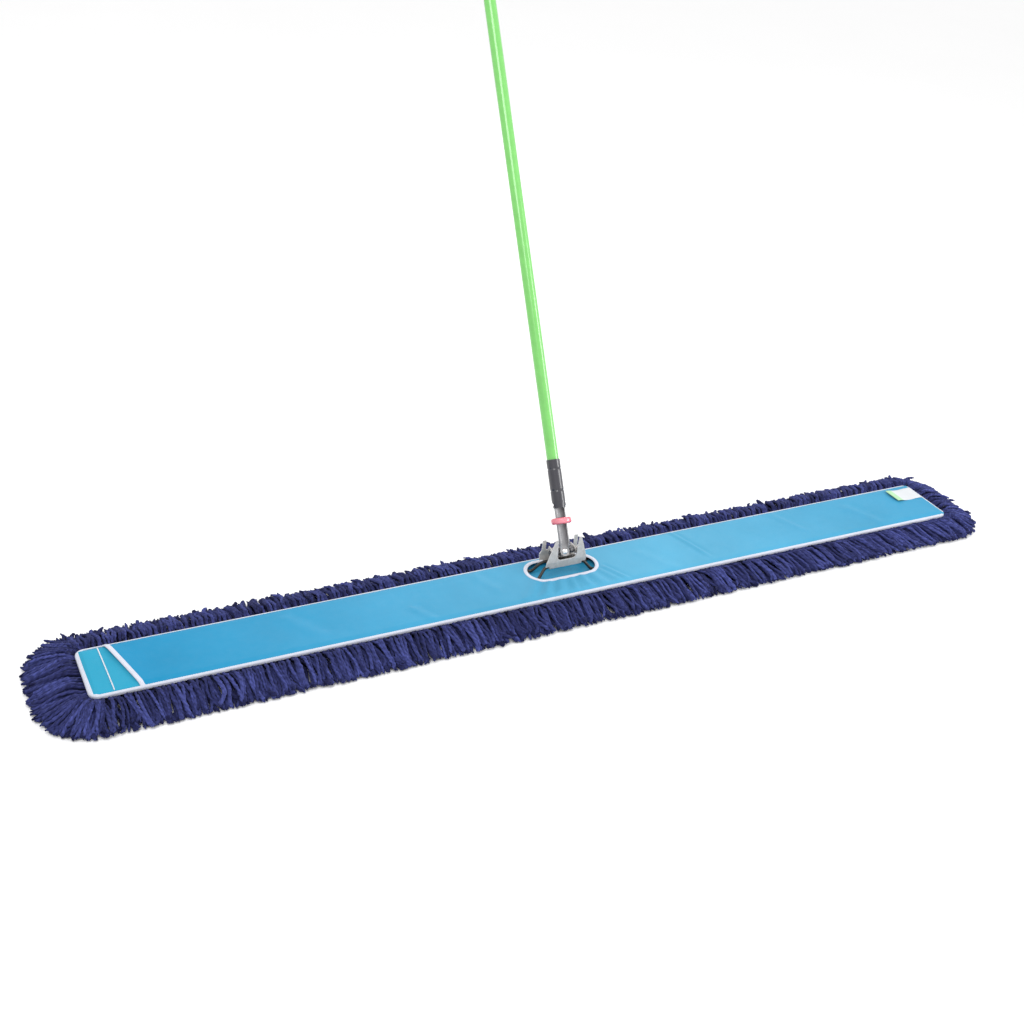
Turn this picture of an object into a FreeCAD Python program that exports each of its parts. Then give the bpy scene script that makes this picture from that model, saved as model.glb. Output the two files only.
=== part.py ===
"""Wide flat dust mop: a yarn mop head on a wire frame, with a clip-on swivel handle.

The frame is X along the mop head, Y across it and Z up. The origin is on the floor under the
middle of the head. Lengths are millimetres and angles are degrees.
"""

import FreeCAD, Part
import Sketcher
import math
import os

Vector = FreeCAD.Vector
Rotation = FreeCAD.Rotation

SIZES = {
    # mop head, floor to top
    "head_length": 1829, "head_width": 136, "head_corner": 16,
    "yarn_depth": 19.2, "tape_thick": 0.7, "canvas_thick": 2, "pocket_clear": 0.7,
    "panel_thick": 0.8, "layer_gap": 0.1, "tape_width": 7,
    "pocket_lap": 95, "mouth_back": 47, "mouth_front": 84,
    "opening_length": 144, "opening_width": 62,
    "label_length": 70, "label_width": 44, "label_thick": 0.5, "label_inset": 12,
    # yarn skirt
    "skirt_side": 70, "skirt_end": 84, "skirt_corner": 92, "skirt_gap": 0.8,
    "skirt_tip": 7, "skirt_knee": 16, "skirt_root": 28, "skirt_end_zone": 34.5,
    # wire frame
    "wire_size": 6, "frame_end_gap": 26.5, "frame_width": 76, "frame_shift": 18,
    "waist_width": 18, "waist_length": 84, "waist_rise": 20,
    "neck_foot": 58, "neck_splay": 15, "shoulder_reach": 104,
    "ferrule_length": 26, "ferrule_wall": 1.2,
    "bend_end": 24, "bend_shoulder": 48, "bend_neck": 12,
    # spring clip
    "pin_height": 70, "jaw_sheet": 1.6, "jaw_width": 87, "horn_span": 55, "horn_height": 38,
    "jaw_reach": 16.5, "jaw_knee": 10, "grip_gap": 0.4, "grip_wrap": 45, "lip_width": 70,
    "notch_top": 46, "notch_bottom": 8, "notch_radius": 10, "notch_taper": 2,
    "tab_height": 22, "tab_gap": 62, "tab_width": 8, "tab_floor": 0.5, "tab_slope": 8,
    "lug_depth": 7, "front_lug": 26, "rear_lug": 23.2,
    "trunnion_size": 8, "trunnion_reach": 30.4, "running_gap": 0.08,
    "clip_size": 13, "clip_thick": 1, "clip_groove": 1.2,
    "spring_wire": 1.4, "spring_fit": 0.8, "spring_arm": 1.2, "spring_turns": 4, "spring_start": 13.6,
    "spring_lap": 0.1,
    # swivel and leg
    "lean": 33.2, "sway": 2.4,
    "block_width": 16, "block_height": 16, "block_back": 6, "block_front": 4.2,
    "block_corner": 2,
    "rivet_size": 6, "rivet_head": 12.5, "rivet_dome": 3.4, "rivet_tail": 10,
    "rivet_tail_thick": 1.8, "washer_size": 14, "washer_thick": 0.7, "seat_gap": 0.05,
    "leg_width": 19, "leg_sheet": 2, "leg_depth": 8.5, "leg_top": 100,
    "flange_start": 4, "flange_full": 16,
    "ring_bore": 24, "ring_size": 40, "ring_height": 12.5, "ring_round": 4.6, "ring_at": 59,
    # socket and handle
    "socket_wall": 1.45, "socket_foot": 84, "socket_foot_size": 24, "socket_shoulder": 98,
    "socket_top": 178, "crimp_depth": 0.8, "crimp_width": 5, "crimp_low": 118, "crimp_high": 160,
    "collar_bore": 21.3, "leg_clear": 0.5,
    "tube_size": 23.8, "tube_wall": 2.6, "tube_length": 1524, "tube_fit": 0.05,
    "cross_pin": 4, "cross_pin_at": 91, "cross_pin_head": 7, "cross_pin_crown": 1.2,
    "cap_wall": 1.3, "cap_plug": 34, "cap_skirt": 9, "cap_length": 34, "cap_flat": 12,
    "cap_shoulder": 5.7, "hang_hole": 9,
    # how far a cut runs past the face it goes through
    "cut_past": 1,
}

doc = FreeCAD.newDocument("flat_mop")
sheet = doc.addObject("Spreadsheet::Sheet", "Sizes")
for row, (name, value) in enumerate(SIZES.items(), start=1):
    sheet.set(f"A{row}", name)
    sheet.set(f"B{row}", str(value))
    sheet.setAlias(f"B{row}", name)
doc.recompute()


class Size:
    """A number together with the spreadsheet formula that gives it."""

    def __init__(self, value, formula):
        self.value = float(value)
        self.formula = formula

    def __add__(self, other):
        other = as_size(other)
        return Size(self.value + other.value, f"({self.formula} + {other.formula})")

    def __sub__(self, other):
        other = as_size(other)
        return Size(self.value - other.value, f"({self.formula} - {other.formula})")

    def __mul__(self, other):
        other = as_size(other)
        return Size(self.value * other.value, f"({self.formula} * {other.formula})")

    def __truediv__(self, other):
        other = as_size(other)
        return Size(self.value / other.value, f"({self.formula} / {other.formula})")

    def __neg__(self):
        return Size(-self.value, f"(0 - {self.formula})")

    def __radd__(self, other):
        return as_size(other) + self

    def __rsub__(self, other):
        return as_size(other) - self


def as_size(number):
    """A plain number as a Size, or a Size as it is."""
    if isinstance(number, Size):
        return number
    return Size(number, f"({number:.6f})")


def cell(name):
    """The Size in the spreadsheet cell with this alias."""
    return Size(sheet.get(name), f"Sizes.{name}")


def cosine(angle):
    return Size(math.cos(math.radians(angle.value)), f"cos({angle.formula} * 1 deg)")


def sine(angle):
    return Size(math.sin(math.radians(angle.value)), f"sin({angle.formula} * 1 deg)")


def bind(item, prop, size):
    """Set one property of an object and tie it to its spreadsheet formula."""
    size = as_size(size)
    setattr(item, prop, size.value)
    item.setExpression(prop, size.formula)


def tie_place(item, prop, x, y, z):
    """Tie the position in a placement property to three sizes."""
    for axis, size in zip("xyz", (x, y, z)):
        item.setExpression(f"{prop}.Base.{axis}", as_size(size).formula)


# Bodies, sketches and features

PARTS = []


def new_body(label):
    body = doc.addObject("PartDesign::Body", label)
    body.Label = label
    PARTS.append(body)
    return body


def new_sketch(body, plane, offset=0):
    """An empty sketch on one of the body's own origin planes, moved along its normal."""
    sketch = body.newObject("Sketcher::SketchObject", f"{body.Name}_sketch")
    base = next(f for f in body.Origin.OriginFeatures if f.Role == plane)
    sketch.AttachmentSupport = [(base, "")]
    sketch.MapMode = "FlatFace"
    offset = as_size(offset)
    sketch.AttachmentOffset = FreeCAD.Placement(Vector(0, 0, offset.value), Rotation())
    sketch.setExpression("AttachmentOffset.Base.z", offset.formula)
    return sketch


def pin_point(sketch, edge, point, x, y):
    """Hold one end of an edge at x, y from the sketch's origin."""
    for kind, size in (("DistanceX", as_size(x)), ("DistanceY", as_size(y))):
        number = sketch.addConstraint(Sketcher.Constraint(kind, -1, 1, edge, point, size.value))
        sketch.setExpression(f"Constraints[{number}]", size.formula)


def outline(sketch, corners):
    """A closed outline. A corner is (x, y), or (x, y, centre, turn) where an arc follows it."""
    number = len(corners)
    first = sketch.GeometryCount
    ends = []
    for k, corner in enumerate(corners):
        x, y = as_size(corner[0]), as_size(corner[1])
        after = corners[(k + 1) % number]
        x2, y2 = as_size(after[0]), as_size(after[1])
        start = Vector(x.value, y.value, 0)
        stop = Vector(x2.value, y2.value, 0)
        if len(corner) == 2:
            sketch.addGeometry(Part.LineSegment(start, stop), False)
            ends.append((1, 2))
            continue
        centre = Vector(as_size(corner[2][0]).value, as_size(corner[2][1]).value, 0)
        turn = corner[3]
        circle = Part.Circle(centre, Vector(0, 0, 1), (start - centre).Length)
        a, b = (start, stop) if turn > 0 else (stop, start)
        angles = [math.atan2((p - centre).y, (p - centre).x) for p in (a, b)]
        if angles[1] <= angles[0]:
            angles[1] += 2 * math.pi
        sketch.addGeometry(Part.ArcOfCircle(circle, angles[0], angles[1]), False)
        ends.append((1, 2) if turn > 0 else (2, 1))
    for k in range(number):
        sketch.addConstraint(Sketcher.Constraint(
            "Coincident", first + k, ends[k][1], first + (k + 1) % number, ends[(k + 1) % number][0]))
    for k, corner in enumerate(corners):
        pin_point(sketch, first + k, ends[k][0], corner[0], corner[1])
        if len(corner) == 4:
            after = corners[(k + 1) % number]
            wide = abs(as_size(after[0]).value - as_size(corner[0]).value)
            tall = abs(as_size(after[1]).value - as_size(corner[1]).value)
            kind, size = ("DistanceY", corner[2][1]) if wide > tall else ("DistanceX", corner[2][0])
            size = as_size(size)
            held = sketch.addConstraint(Sketcher.Constraint(kind, -1, 1, first + k, 3, size.value))
            sketch.setExpression(f"Constraints[{held}]", size.formula)


def circle(sketch, x, y, radius):
    """A circle held by its centre and radius."""
    x, y, radius = as_size(x), as_size(y), as_size(radius)
    edge = sketch.addGeometry(
        Part.Circle(Vector(x.value, y.value, 0), Vector(0, 0, 1), radius.value), False)
    pin_point(sketch, edge, 3, x, y)
    number = sketch.addConstraint(Sketcher.Constraint("Radius", edge, radius.value))
    sketch.setExpression(f"Constraints[{number}]", radius.formula)


def rounded(low_x, high_x, low_y, high_y, radius):
    """The corners of a rectangle whose corners are arcs, for outline()."""
    return [
        (low_x + radius, low_y),
        (high_x - radius, low_y, (high_x - radius, low_y + radius), 1),
        (high_x, low_y + radius),
        (high_x, high_y - radius, (high_x - radius, high_y - radius), 1),
        (high_x - radius, high_y),
        (low_x + radius, high_y, (low_x + radius, high_y - radius), 1),
        (low_x, high_y - radius),
        (low_x, low_y + radius, (low_x + radius, low_y + radius), 1),
    ]


def stadium(x, y, length, width):
    """The corners of an oval slot with round ends, for outline()."""
    reach = (length - width) / 2
    half = width / 2
    return [
        (x - reach, y - half),
        (x + reach, y - half, (x + reach, y), 1),
        (x + reach, y + half),
        (x - reach, y + half, (x - reach, y), 1),
    ]


def pad(body, sketch, length):
    feature = body.newObject("PartDesign::Pad", f"{body.Name}_pad")
    feature.Profile = sketch
    bind(feature, "Length", length)
    body.Tip = feature
    doc.recompute()
    return feature


def pocket(body, sketch, length, reverse=False):
    """Cut a sketch into the body, and make sure that it removed something."""
    before = body.Shape.Volume
    feature = body.newObject("PartDesign::Pocket", f"{body.Name}_pocket")
    feature.Profile = sketch
    feature.Reversed = reverse
    bind(feature, "Length", length)
    body.Tip = feature
    doc.recompute()
    if body.Shape.Volume > before - 1e-3:
        raise RuntimeError(f"a pocket in {body.Label} cut nothing")
    return feature


def revolve(body, sketch, axis="V_Axis"):
    feature = body.newObject("PartDesign::Revolution", f"{body.Name}_turn")
    feature.Profile = sketch
    feature.ReferenceAxis = (sketch, [axis])
    feature.Angle = 360
    body.Tip = feature
    doc.recompute()
    return feature


def slab(label, corners, low, thick):
    """A flat piece with an outline seen from above."""
    body = new_body(label)
    sketch = new_sketch(body, "XY_Plane", low)
    outline(sketch, corners)
    pad(body, sketch, thick)
    return body


def cut_slab(body, corners, low, thick):
    """Cut an outline seen from above out of a piece, over one band of heights."""
    sketch = new_sketch(body, "XY_Plane", low + thick)
    outline(sketch, corners)
    pocket(body, sketch, thick)


# Places that many pieces share

half_length = cell("head_length") / 2
half_width = cell("head_width") / 2
tape = cell("tape_thick")
canvas_low = cell("yarn_depth") + tape + cell("layer_gap")
canvas_high = canvas_low + cell("canvas_thick")
pocket_depth = cell("wire_size") + cell("ferrule_wall") * 2 + cell("pocket_clear")
flap_low = canvas_high + pocket_depth
flap_high = flap_low + cell("panel_thick")
panel_low = flap_high + cell("layer_gap")
panel_high = panel_low + cell("panel_thick")
tape_inner_x = half_length - cell("tape_width")
tape_inner_y = half_width - cell("tape_width")
middle_y = cell("frame_shift")
frame_end_x = half_length - cell("frame_end_gap")
wire_radius = cell("wire_size") / 2
rail_z = canvas_high + pocket_depth / 2
waist_z = rail_z + cell("waist_rise")
waist_y = cell("waist_width") / 2
past = cell("cut_past")


def head_outline(grow):
    """The head's rounded outline, made larger by grow on every side."""
    return rounded(-half_length - grow, half_length + grow, -half_width - grow, half_width + grow,
                   cell("head_corner") + grow)


# Mop head: yarn underneath, canvas, pocket and tapes

def yarn_pad():
    edge = cell("skirt_gap")
    slab("yarn_pad", head_outline(-edge), as_size(0), cell("yarn_depth"))


def base_canvas():
    slab("base_canvas", head_outline(as_size(0)), canvas_low, cell("canvas_thick"))


def opening_outline(grow):
    return stadium(as_size(0), middle_y, cell("opening_length") + grow * 2,
                   cell("opening_width") + grow * 2)


def mouth_line(y, shift=0):
    """Where the skewed pocket mouth is at one y."""
    slope = (cell("mouth_front") - cell("mouth_back")) / cell("head_width")
    return (half_width - y) * slope + cell("mouth_back") - half_length + shift


def top_panel():
    """The long upper sheet, open at its left end and around the clip."""
    radius = cell("head_corner")
    body = slab("top_panel", [
        (mouth_line(-half_width), -half_width),
        (half_length - radius, -half_width, (half_length - radius, -half_width + radius), 1),
        (half_length, -half_width + radius),
        (half_length, half_width - radius, (half_length - radius, half_width - radius), 1),
        (half_length - radius, half_width),
        (mouth_line(half_width), half_width),
    ], panel_low, cell("panel_thick"))
    cut_slab(body, opening_outline(as_size(0)), panel_low, cell("panel_thick"))


def end_flap():
    """The short sheet under the pocket mouth, sewn to the left end."""
    radius = cell("head_corner")
    right = cell("pocket_lap") - half_length
    slab("end_flap", [
        (radius - half_length, -half_width),
        (right, -half_width),
        (right, half_width),
        (radius - half_length, half_width, (radius - half_length, half_width - radius), 1),
        (-half_length, half_width - radius),
        (-half_length, -half_width + radius, (radius - half_length, -half_width + radius), 1),
    ], flap_low, cell("panel_thick"))


def edge_binding():
    """Tape folded round the outer edge of the canvas and the sheets."""
    low = canvas_low - tape
    body = slab("edge_binding", head_outline(tape), low, panel_high + tape - low)
    cut_slab(body, head_outline(as_size(0)), canvas_low, panel_high - canvas_low)
    cut_slab(body, head_outline(-cell("tape_width")), low, panel_high + tape - low)


def mouth_binding():
    """Tape on the skewed free end of the upper sheet."""
    inset = cell("tape_width")
    low_y = inset - half_width
    high_y = half_width - inset
    wide = cell("tape_width")
    body = slab("mouth_binding", [
        (mouth_line(low_y, -tape), low_y),
        (mouth_line(low_y, wide), low_y),
        (mouth_line(high_y, wide), high_y),
        (mouth_line(high_y, -tape), high_y),
    ], panel_low, cell("panel_thick") + tape)
    cut_slab(body, [
        (mouth_line(low_y), low_y),
        (mouth_line(low_y, wide + past), low_y),
        (mouth_line(high_y, wide + past), high_y),
        (mouth_line(high_y), high_y),
    ], panel_low, cell("panel_thick"))


def opening_binding():
    """Tape round the oval opening."""
    body = slab("opening_binding", opening_outline(cell("tape_width") - tape), panel_high, tape)
    sketch = new_sketch(body, "XY_Plane", panel_low)
    outline(sketch, opening_outline(as_size(0)))
    pad(body, sketch, cell("panel_thick"))
    cut_slab(body, opening_outline(-tape), panel_low, cell("panel_thick") + tape)


def care_label():
    """A small sewn-in label, lying on the upper sheet at its right end."""
    right = tape_inner_x - cell("layer_gap")
    high_y = tape_inner_y - cell("label_inset")
    low_y = high_y - cell("label_width")
    left = right - cell("label_length")
    slab("care_label", [(left, low_y), (right, low_y), (right, high_y), (left, high_y)],
         panel_high, cell("label_thick"))


# Yarn skirt round the head

skirt_in_y = half_width + tape + cell("skirt_gap")
skirt_in_x = half_length + tape + cell("skirt_gap")
skirt_out_y = half_width + cell("skirt_side")
skirt_out_x = half_length + cell("skirt_end")
skirt_split = half_length - cell("skirt_end_zone")


def side_skirt(label, side):
    """The skirt along a long side, thickest at the tape and thin at its tips."""
    body = new_body(label)
    sketch = new_sketch(body, "YZ_Plane", -skirt_split)
    knee_y = (skirt_in_y + skirt_out_y * 2) / 3
    corners = [
        (skirt_in_y * side, as_size(0)),
        (skirt_out_y * side, as_size(0)),
        (skirt_out_y * side, cell("skirt_tip")),
        (knee_y * side, cell("skirt_knee")),
        (skirt_in_y * side, cell("skirt_root")),
    ]
    outline(sketch, corners if side > 0 else corners[::-1])
    pad(body, sketch, skirt_split * 2)


def end_skirt(label, side):
    """The skirt round one end, with two round outer corners."""
    body = new_body(label)
    outer = cell("skirt_corner")
    inner = cell("head_corner")
    start = skirt_split + cell("skirt_gap")
    turn = side
    corners = [
        (start * side, -skirt_out_y),
        ((skirt_out_x - outer) * side, -skirt_out_y,
         ((skirt_out_x - outer) * side, outer - skirt_out_y), turn),
        (skirt_out_x * side, outer - skirt_out_y),
        (skirt_out_x * side, skirt_out_y - outer,
         ((skirt_out_x - outer) * side, skirt_out_y - outer), turn),
        ((skirt_out_x - outer) * side, skirt_out_y),
        (start * side, skirt_out_y),
        (start * side, skirt_in_y),
        ((skirt_in_x - inner) * side, skirt_in_y,
         ((skirt_in_x - inner) * side, skirt_in_y - inner), -turn),
        (skirt_in_x * side, skirt_in_y - inner),
        (skirt_in_x * side, inner - skirt_in_y,
         ((skirt_in_x - inner) * side, inner - skirt_in_y), -turn),
        ((skirt_in_x - inner) * side, -skirt_in_y),
        (start * side, -skirt_in_y),
    ]
    sketch = new_sketch(body, "XY_Plane")
    outline(sketch, corners)
    pad(body, sketch, cell("skirt_knee"))


# Wire frame: two bent wires, joined at both ends by crimped ferrules

def swept_rod(points, radii, radius):
    """A round rod along straight runs joined by tangent arcs."""
    edges = []
    here = points[0]
    for k in range(1, len(points) - 1):
        back = (points[k - 1] - points[k]).normalize()
        ahead = (points[k + 1] - points[k]).normalize()
        half_turn = (math.pi - back.getAngle(ahead)) / 2
        trim = radii[k - 1] * math.tan(half_turn)
        start = points[k] + back * trim
        stop = points[k] + ahead * trim
        inward = (back + ahead).normalize()
        to_centre = radii[k - 1] / math.cos(half_turn)
        middle = points[k] + inward * (to_centre - radii[k - 1])
        edges.append(Part.LineSegment(here, start).toShape())
        edges.append(Part.Arc(start, middle, stop).toShape())
        here = stop
    edges.append(Part.LineSegment(here, points[-1]).toShape())
    path = Part.Wire(edges)
    ring = Part.Wire([Part.Circle(points[0], points[1] - points[0], radius).toShape()])
    rod = path.makePipeShell([ring], True, False)
    expected = math.pi * radius ** 2 * path.Length
    if abs(rod.Volume - expected) > 0.01 * expected:
        raise RuntimeError("a swept rod lost its section")
    return rod


def frame_wire(label, side):
    """One long wire: a raised waist in the middle, necks down to the rail, and half of each end."""
    end_x = frame_end_x.value
    rail_y = cell("frame_width").value / 2
    rail, waist = rail_z.value, waist_z.value
    half = [
        (cell("waist_length").value / 2, waist_y.value, waist),
        (cell("neck_foot").value, cell("neck_splay").value, rail),
        (cell("shoulder_reach").value, rail_y, rail),
        (end_x, rail_y, rail),
        (end_x, cell("layer_gap").value, rail),
    ]
    left = [(-x, y, z) for x, y, z in half[::-1]]
    points = [Vector(x, middle_y.value + side * y, z) for x, y, z in left + half]
    radii = [cell(name).value for name in ("bend_end", "bend_shoulder", "bend_neck", "bend_neck")]
    item = doc.addObject("Part::Feature", label)
    item.Label = label
    item.Shape = swept_rod(points, radii + radii[::-1], wire_radius.value)
    PARTS.append(item)


def frame_ferrules():
    """A crimped sleeve over the two wire ends at each end of the frame."""
    body = new_body("frame_ferrules")
    sketch = new_sketch(body, "XZ_Plane", -middle_y - cell("ferrule_length") / 2)
    for side in (-1, 1):
        x = frame_end_x * side
        circle(sketch, x, rail_z, wire_radius + cell("ferrule_wall"))
        circle(sketch, x, rail_z, wire_radius + cell("running_gap"))
    pad(body, sketch, cell("ferrule_length"))


# Spring clip: two jaws on the swivel's trunnions. Drawn about the pin line, then lifted there.

def place_at_pin(item, turn=None):
    """Put a piece drawn about the pin line in its place."""
    item.Placement = FreeCAD.Placement(
        Vector(0, middle_y.value, cell("pin_height").value), turn or Rotation())
    tie_place(item, "Placement", 0, middle_y, cell("pin_height"))


def jaw_section():
    """The bent sheet's section (y, z): plate, knee, lip, and the hook that wraps under the wire."""
    sheet_t = cell("jaw_sheet")
    wire_y = -waist_y
    wire_z = waist_z - cell("pin_height")
    inner = wire_radius + cell("grip_gap")
    outer = inner + sheet_t
    wrap_c, wrap_s = cosine(cell("grip_wrap")), sine(cell("grip_wrap"))
    plate = -cell("jaw_reach")
    top = cell("horn_height")
    knee = -cell("jaw_knee")
    return [
        (plate, top),
        (plate, knee),
        (wire_y - outer, wire_z, (wire_y, wire_z), 1),
        (wire_y - outer * wrap_c, wire_z - outer * wrap_s),
        (wire_y - inner * wrap_c, wire_z - inner * wrap_s, (wire_y, wire_z), -1),
        (wire_y - inner, wire_z),
        (plate + sheet_t, knee),
        (plate + sheet_t, top),
    ]


def jaw_blank(label):
    body = new_body(label)
    sketch = new_sketch(body, "YZ_Plane", -cell("jaw_width") / 2)
    outline(sketch, jaw_section())
    pad(body, sketch, cell("jaw_width"))
    return body


def cut_plate(body, corners):
    """Cut an outline seen from the front right through the jaw's plate."""
    reach = cell("jaw_reach")
    sketch = new_sketch(body, "XZ_Plane", reach + past)
    outline(sketch, corners)
    pocket(body, sketch, reach)


def trim_lip(body):
    """Cut the lip away at both ends, where the wire bends down to the rail."""
    far = cell("jaw_width") / 2 + past
    middle = waist_z - cell("pin_height")
    reach = wire_radius + cell("grip_gap")
    low = middle - reach - cell("jaw_sheet") - past
    for side in (-1, 1):
        near_x = cell("lip_width") / 2 * side
        corners = [(near_x, low), (far * side, low), (far * side, middle + reach), (near_x, middle + reach)]
        cut_plate(body, corners if side > 0 else corners[::-1])


def jaw_lugs(body, inner_face):
    """Two ears bent in from the plate to the pin line, each with a round hole."""
    thick = cell("jaw_sheet")
    depth = cell("lug_depth")
    plate = cell("jaw_sheet") - cell("jaw_reach")
    for left in (cell(inner_face), -cell(inner_face) - thick):
        sketch = new_sketch(body, "YZ_Plane", left)
        outline(sketch, [
            (plate - cell("jaw_sheet") / 2, -depth),
            (as_size(0), -depth, (as_size(0), as_size(0)), 1),
            (as_size(0), depth),
            (plate - cell("jaw_sheet") / 2, depth),
        ])
        pad(body, sketch, thick)
    reach = cell(inner_face) + thick + past
    sketch = new_sketch(body, "YZ_Plane", reach)
    circle(sketch, as_size(0), as_size(0), cell("trunnion_size") / 2 + cell("running_gap"))
    pocket(body, sketch, reach * 2)


def front_jaw():
    """The jaw in front, with two horns either side of a round-cornered notch."""
    body = jaw_blank("front_jaw")
    top = cell("horn_height") + past
    knee = -cell("jaw_knee")
    for side in (-1, 1):
        low_x = cell("jaw_width") / 2 * side
        high_x = cell("horn_span") / 2 * side
        out_x = (cell("jaw_width") / 2 + past) * side
        corners = [(low_x, knee), (out_x, knee), (out_x, top), (high_x, top)]
        cut_plate(body, corners if side > 0 else corners[::-1])
    half = cell("notch_top") / 2
    radius = cell("notch_radius")
    floor = -cell("notch_bottom")
    neck = half - cell("notch_taper")
    cut_plate(body, [
        (radius - neck, floor),
        (neck - radius, floor, (neck - radius, floor + radius), 1),
        (neck, floor + radius),
        (half, top),
        (-half, top),
        (-neck, floor + radius, (radius - neck, floor + radius), 1),
    ])
    trim_lip(body)
    jaw_lugs(body, "front_lug")
    place_at_pin(body)


def rear_jaw():
    """The jaw behind, cut low for the leg, with a finger tab at each side."""
    body = jaw_blank("rear_jaw")
    top = cell("horn_height") + past
    tab_top = cell("tab_height")
    floor = cell("tab_floor")
    inner = cell("tab_gap") / 2
    outer = inner + cell("tab_width")
    far = cell("jaw_width") / 2 + past
    shoulder = floor - cell("tab_slope")
    cut_plate(body, [
        (-far, shoulder), (-outer, floor), (-outer, tab_top), (-inner, tab_top),
        (-inner, floor), (inner, floor), (inner, tab_top), (outer, tab_top),
        (outer, floor), (far, shoulder), (far, top), (-far, top),
    ])
    trim_lip(body)
    jaw_lugs(body, "rear_lug")
    place_at_pin(body, Rotation(Vector(0, 0, 1), 180))


def torsion_springs():
    """Two coil springs on the trunnions, one arm of each against each jaw."""
    wire = cell("spring_wire").value
    radius = (cell("trunnion_size").value + wire + cell("spring_fit").value) / 2
    start = cell("spring_start").value
    turns = cell("spring_turns").value
    pitch = wire - cell("spring_lap").value
    arm = cell("jaw_reach").value - cell("jaw_sheet").value - wire
    arm_radius = cell("spring_arm").value / 2
    springs = []
    for side in (-1, 1):
        rings = [Part.makeTorus(radius, wire / 2, Vector(0, 0, pitch * k))
                 for k in range(int(turns) + 1)]
        body = rings[0].fuse(rings[1:])
        arms = []
        for z, reach in ((0, -arm), (pitch * turns, arm)):
            way = math.copysign(1, reach)
            arms.append(Part.makeCylinder(arm_radius, abs(reach) + wire / 2,
                                          Vector(radius, -way * wire / 2, z), Vector(0, way, 0)))
        spring = body.fuse(arms)
        turn = FreeCAD.Placement(Vector(start * side, 0, 0),
                                 Rotation(Vector(0, 1, 0), 90 * side))
        spring.Placement = turn.multiply(FreeCAD.Placement(
            Vector(), Rotation(Vector(0, 0, 1), 0 if side > 0 else 180)))
        springs.append(spring)
    item = doc.addObject("Part::Feature", "torsion_springs")
    item.Label = "torsion_springs"
    item.Shape = Part.makeCompound(springs)
    place_at_pin(item)
    PARTS.append(item)


# Swivel block, leg, socket and handle. Drawn with Z along the handle, then leaned and swayed.

lean = Rotation(Vector(1, 0, 0), -cell("lean").value)
sway = Rotation(Vector(0, 1, 0), cell("sway").value)
web_back = -cell("block_front") - cell("washer_thick") - cell("seat_gap") * 2
web_front = web_back - cell("leg_sheet")
flange_front = web_back - cell("leg_depth")
axis_y = (web_back + flange_front) / 2


def trunnion_clips():
    """A retaining clip in a groove near each trunnion's end."""
    body = new_body("trunnion_clips")
    groove = cell("trunnion_reach") - cell("clip_groove") - cell("clip_thick")
    for side in (-1, 1):
        at = groove if side > 0 else -groove - cell("clip_thick")
        sketch = new_sketch(body, "YZ_Plane", at)
        circle(sketch, as_size(0), as_size(0), cell("clip_size") / 2)
        circle(sketch, as_size(0), as_size(0), cell("trunnion_size") / 2)
        pad(body, sketch, cell("clip_thick"))
    place_at_pin(body)


def swivel_block():
    """A block with a trunnion on each side for the jaws, and a hole for the rivet."""
    body = new_body("swivel_block")
    half_x = cell("block_width") / 2
    half_z = cell("block_height") / 2
    sketch = new_sketch(body, "YZ_Plane", -half_x)
    outline(sketch, rounded(-cell("block_front"), cell("block_back"), -half_z, half_z,
                            cell("block_corner")))
    pad(body, sketch, half_x * 2)
    for low, high in ((-cell("trunnion_reach"), -half_x), (half_x, cell("trunnion_reach"))):
        sketch = new_sketch(body, "YZ_Plane", low)
        circle(sketch, as_size(0), as_size(0), cell("trunnion_size") / 2)
        pad(body, sketch, high - low)
    sketch = new_sketch(body, "XZ_Plane", cell("block_front"))
    circle(sketch, as_size(0), as_size(0), cell("rivet_size") / 2)
    pocket(body, sketch, cell("block_front") + cell("block_back"))
    place_at_pin(body, lean)


def rivet_washer():
    body = new_body("rivet_washer")
    sketch = new_sketch(body, "XZ_Plane", cell("block_front") + cell("seat_gap"))
    circle(sketch, as_size(0), as_size(0), cell("washer_size") / 2)
    circle(sketch, as_size(0), as_size(0), cell("rivet_size") / 2 + cell("running_gap"))
    pad(body, sketch, cell("washer_thick"))
    place_at_pin(body, lean)


def pivot_rivet():
    """A domed rivet through the leg and the block. The leg sways on it."""
    body = new_body("pivot_rivet")
    shank = cell("rivet_size") / 2
    head = cell("rivet_head") / 2
    tail = cell("rivet_tail") / 2
    seat = cell("seat_gap") - web_front
    dome = cell("rivet_dome")
    back = -cell("block_back")
    bulge = (head * head - dome * dome) / (dome * 2)
    sketch = new_sketch(body, "XY_Plane")
    outline(sketch, [
        (as_size(0), -back),
        (shank, -back),
        (shank, -seat),
        (head, -seat, (as_size(0), bulge - seat), -1),
        (as_size(0), -seat - dome),
    ])
    revolve(body, sketch)
    sketch = new_sketch(body, "XZ_Plane", back - cell("rivet_tail_thick"))
    circle(sketch, as_size(0), as_size(0), tail)
    pad(body, sketch, cell("rivet_tail_thick"))
    place_at_pin(body, lean)


socket_radius = cell("tube_size") / 2 + cell("tube_fit") + cell("socket_wall")


def place_on_leg(item):
    """Put a piece drawn about the swivel point in its place, leaned and swayed."""
    place_at_pin(item, lean.multiply(sway))


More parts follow.
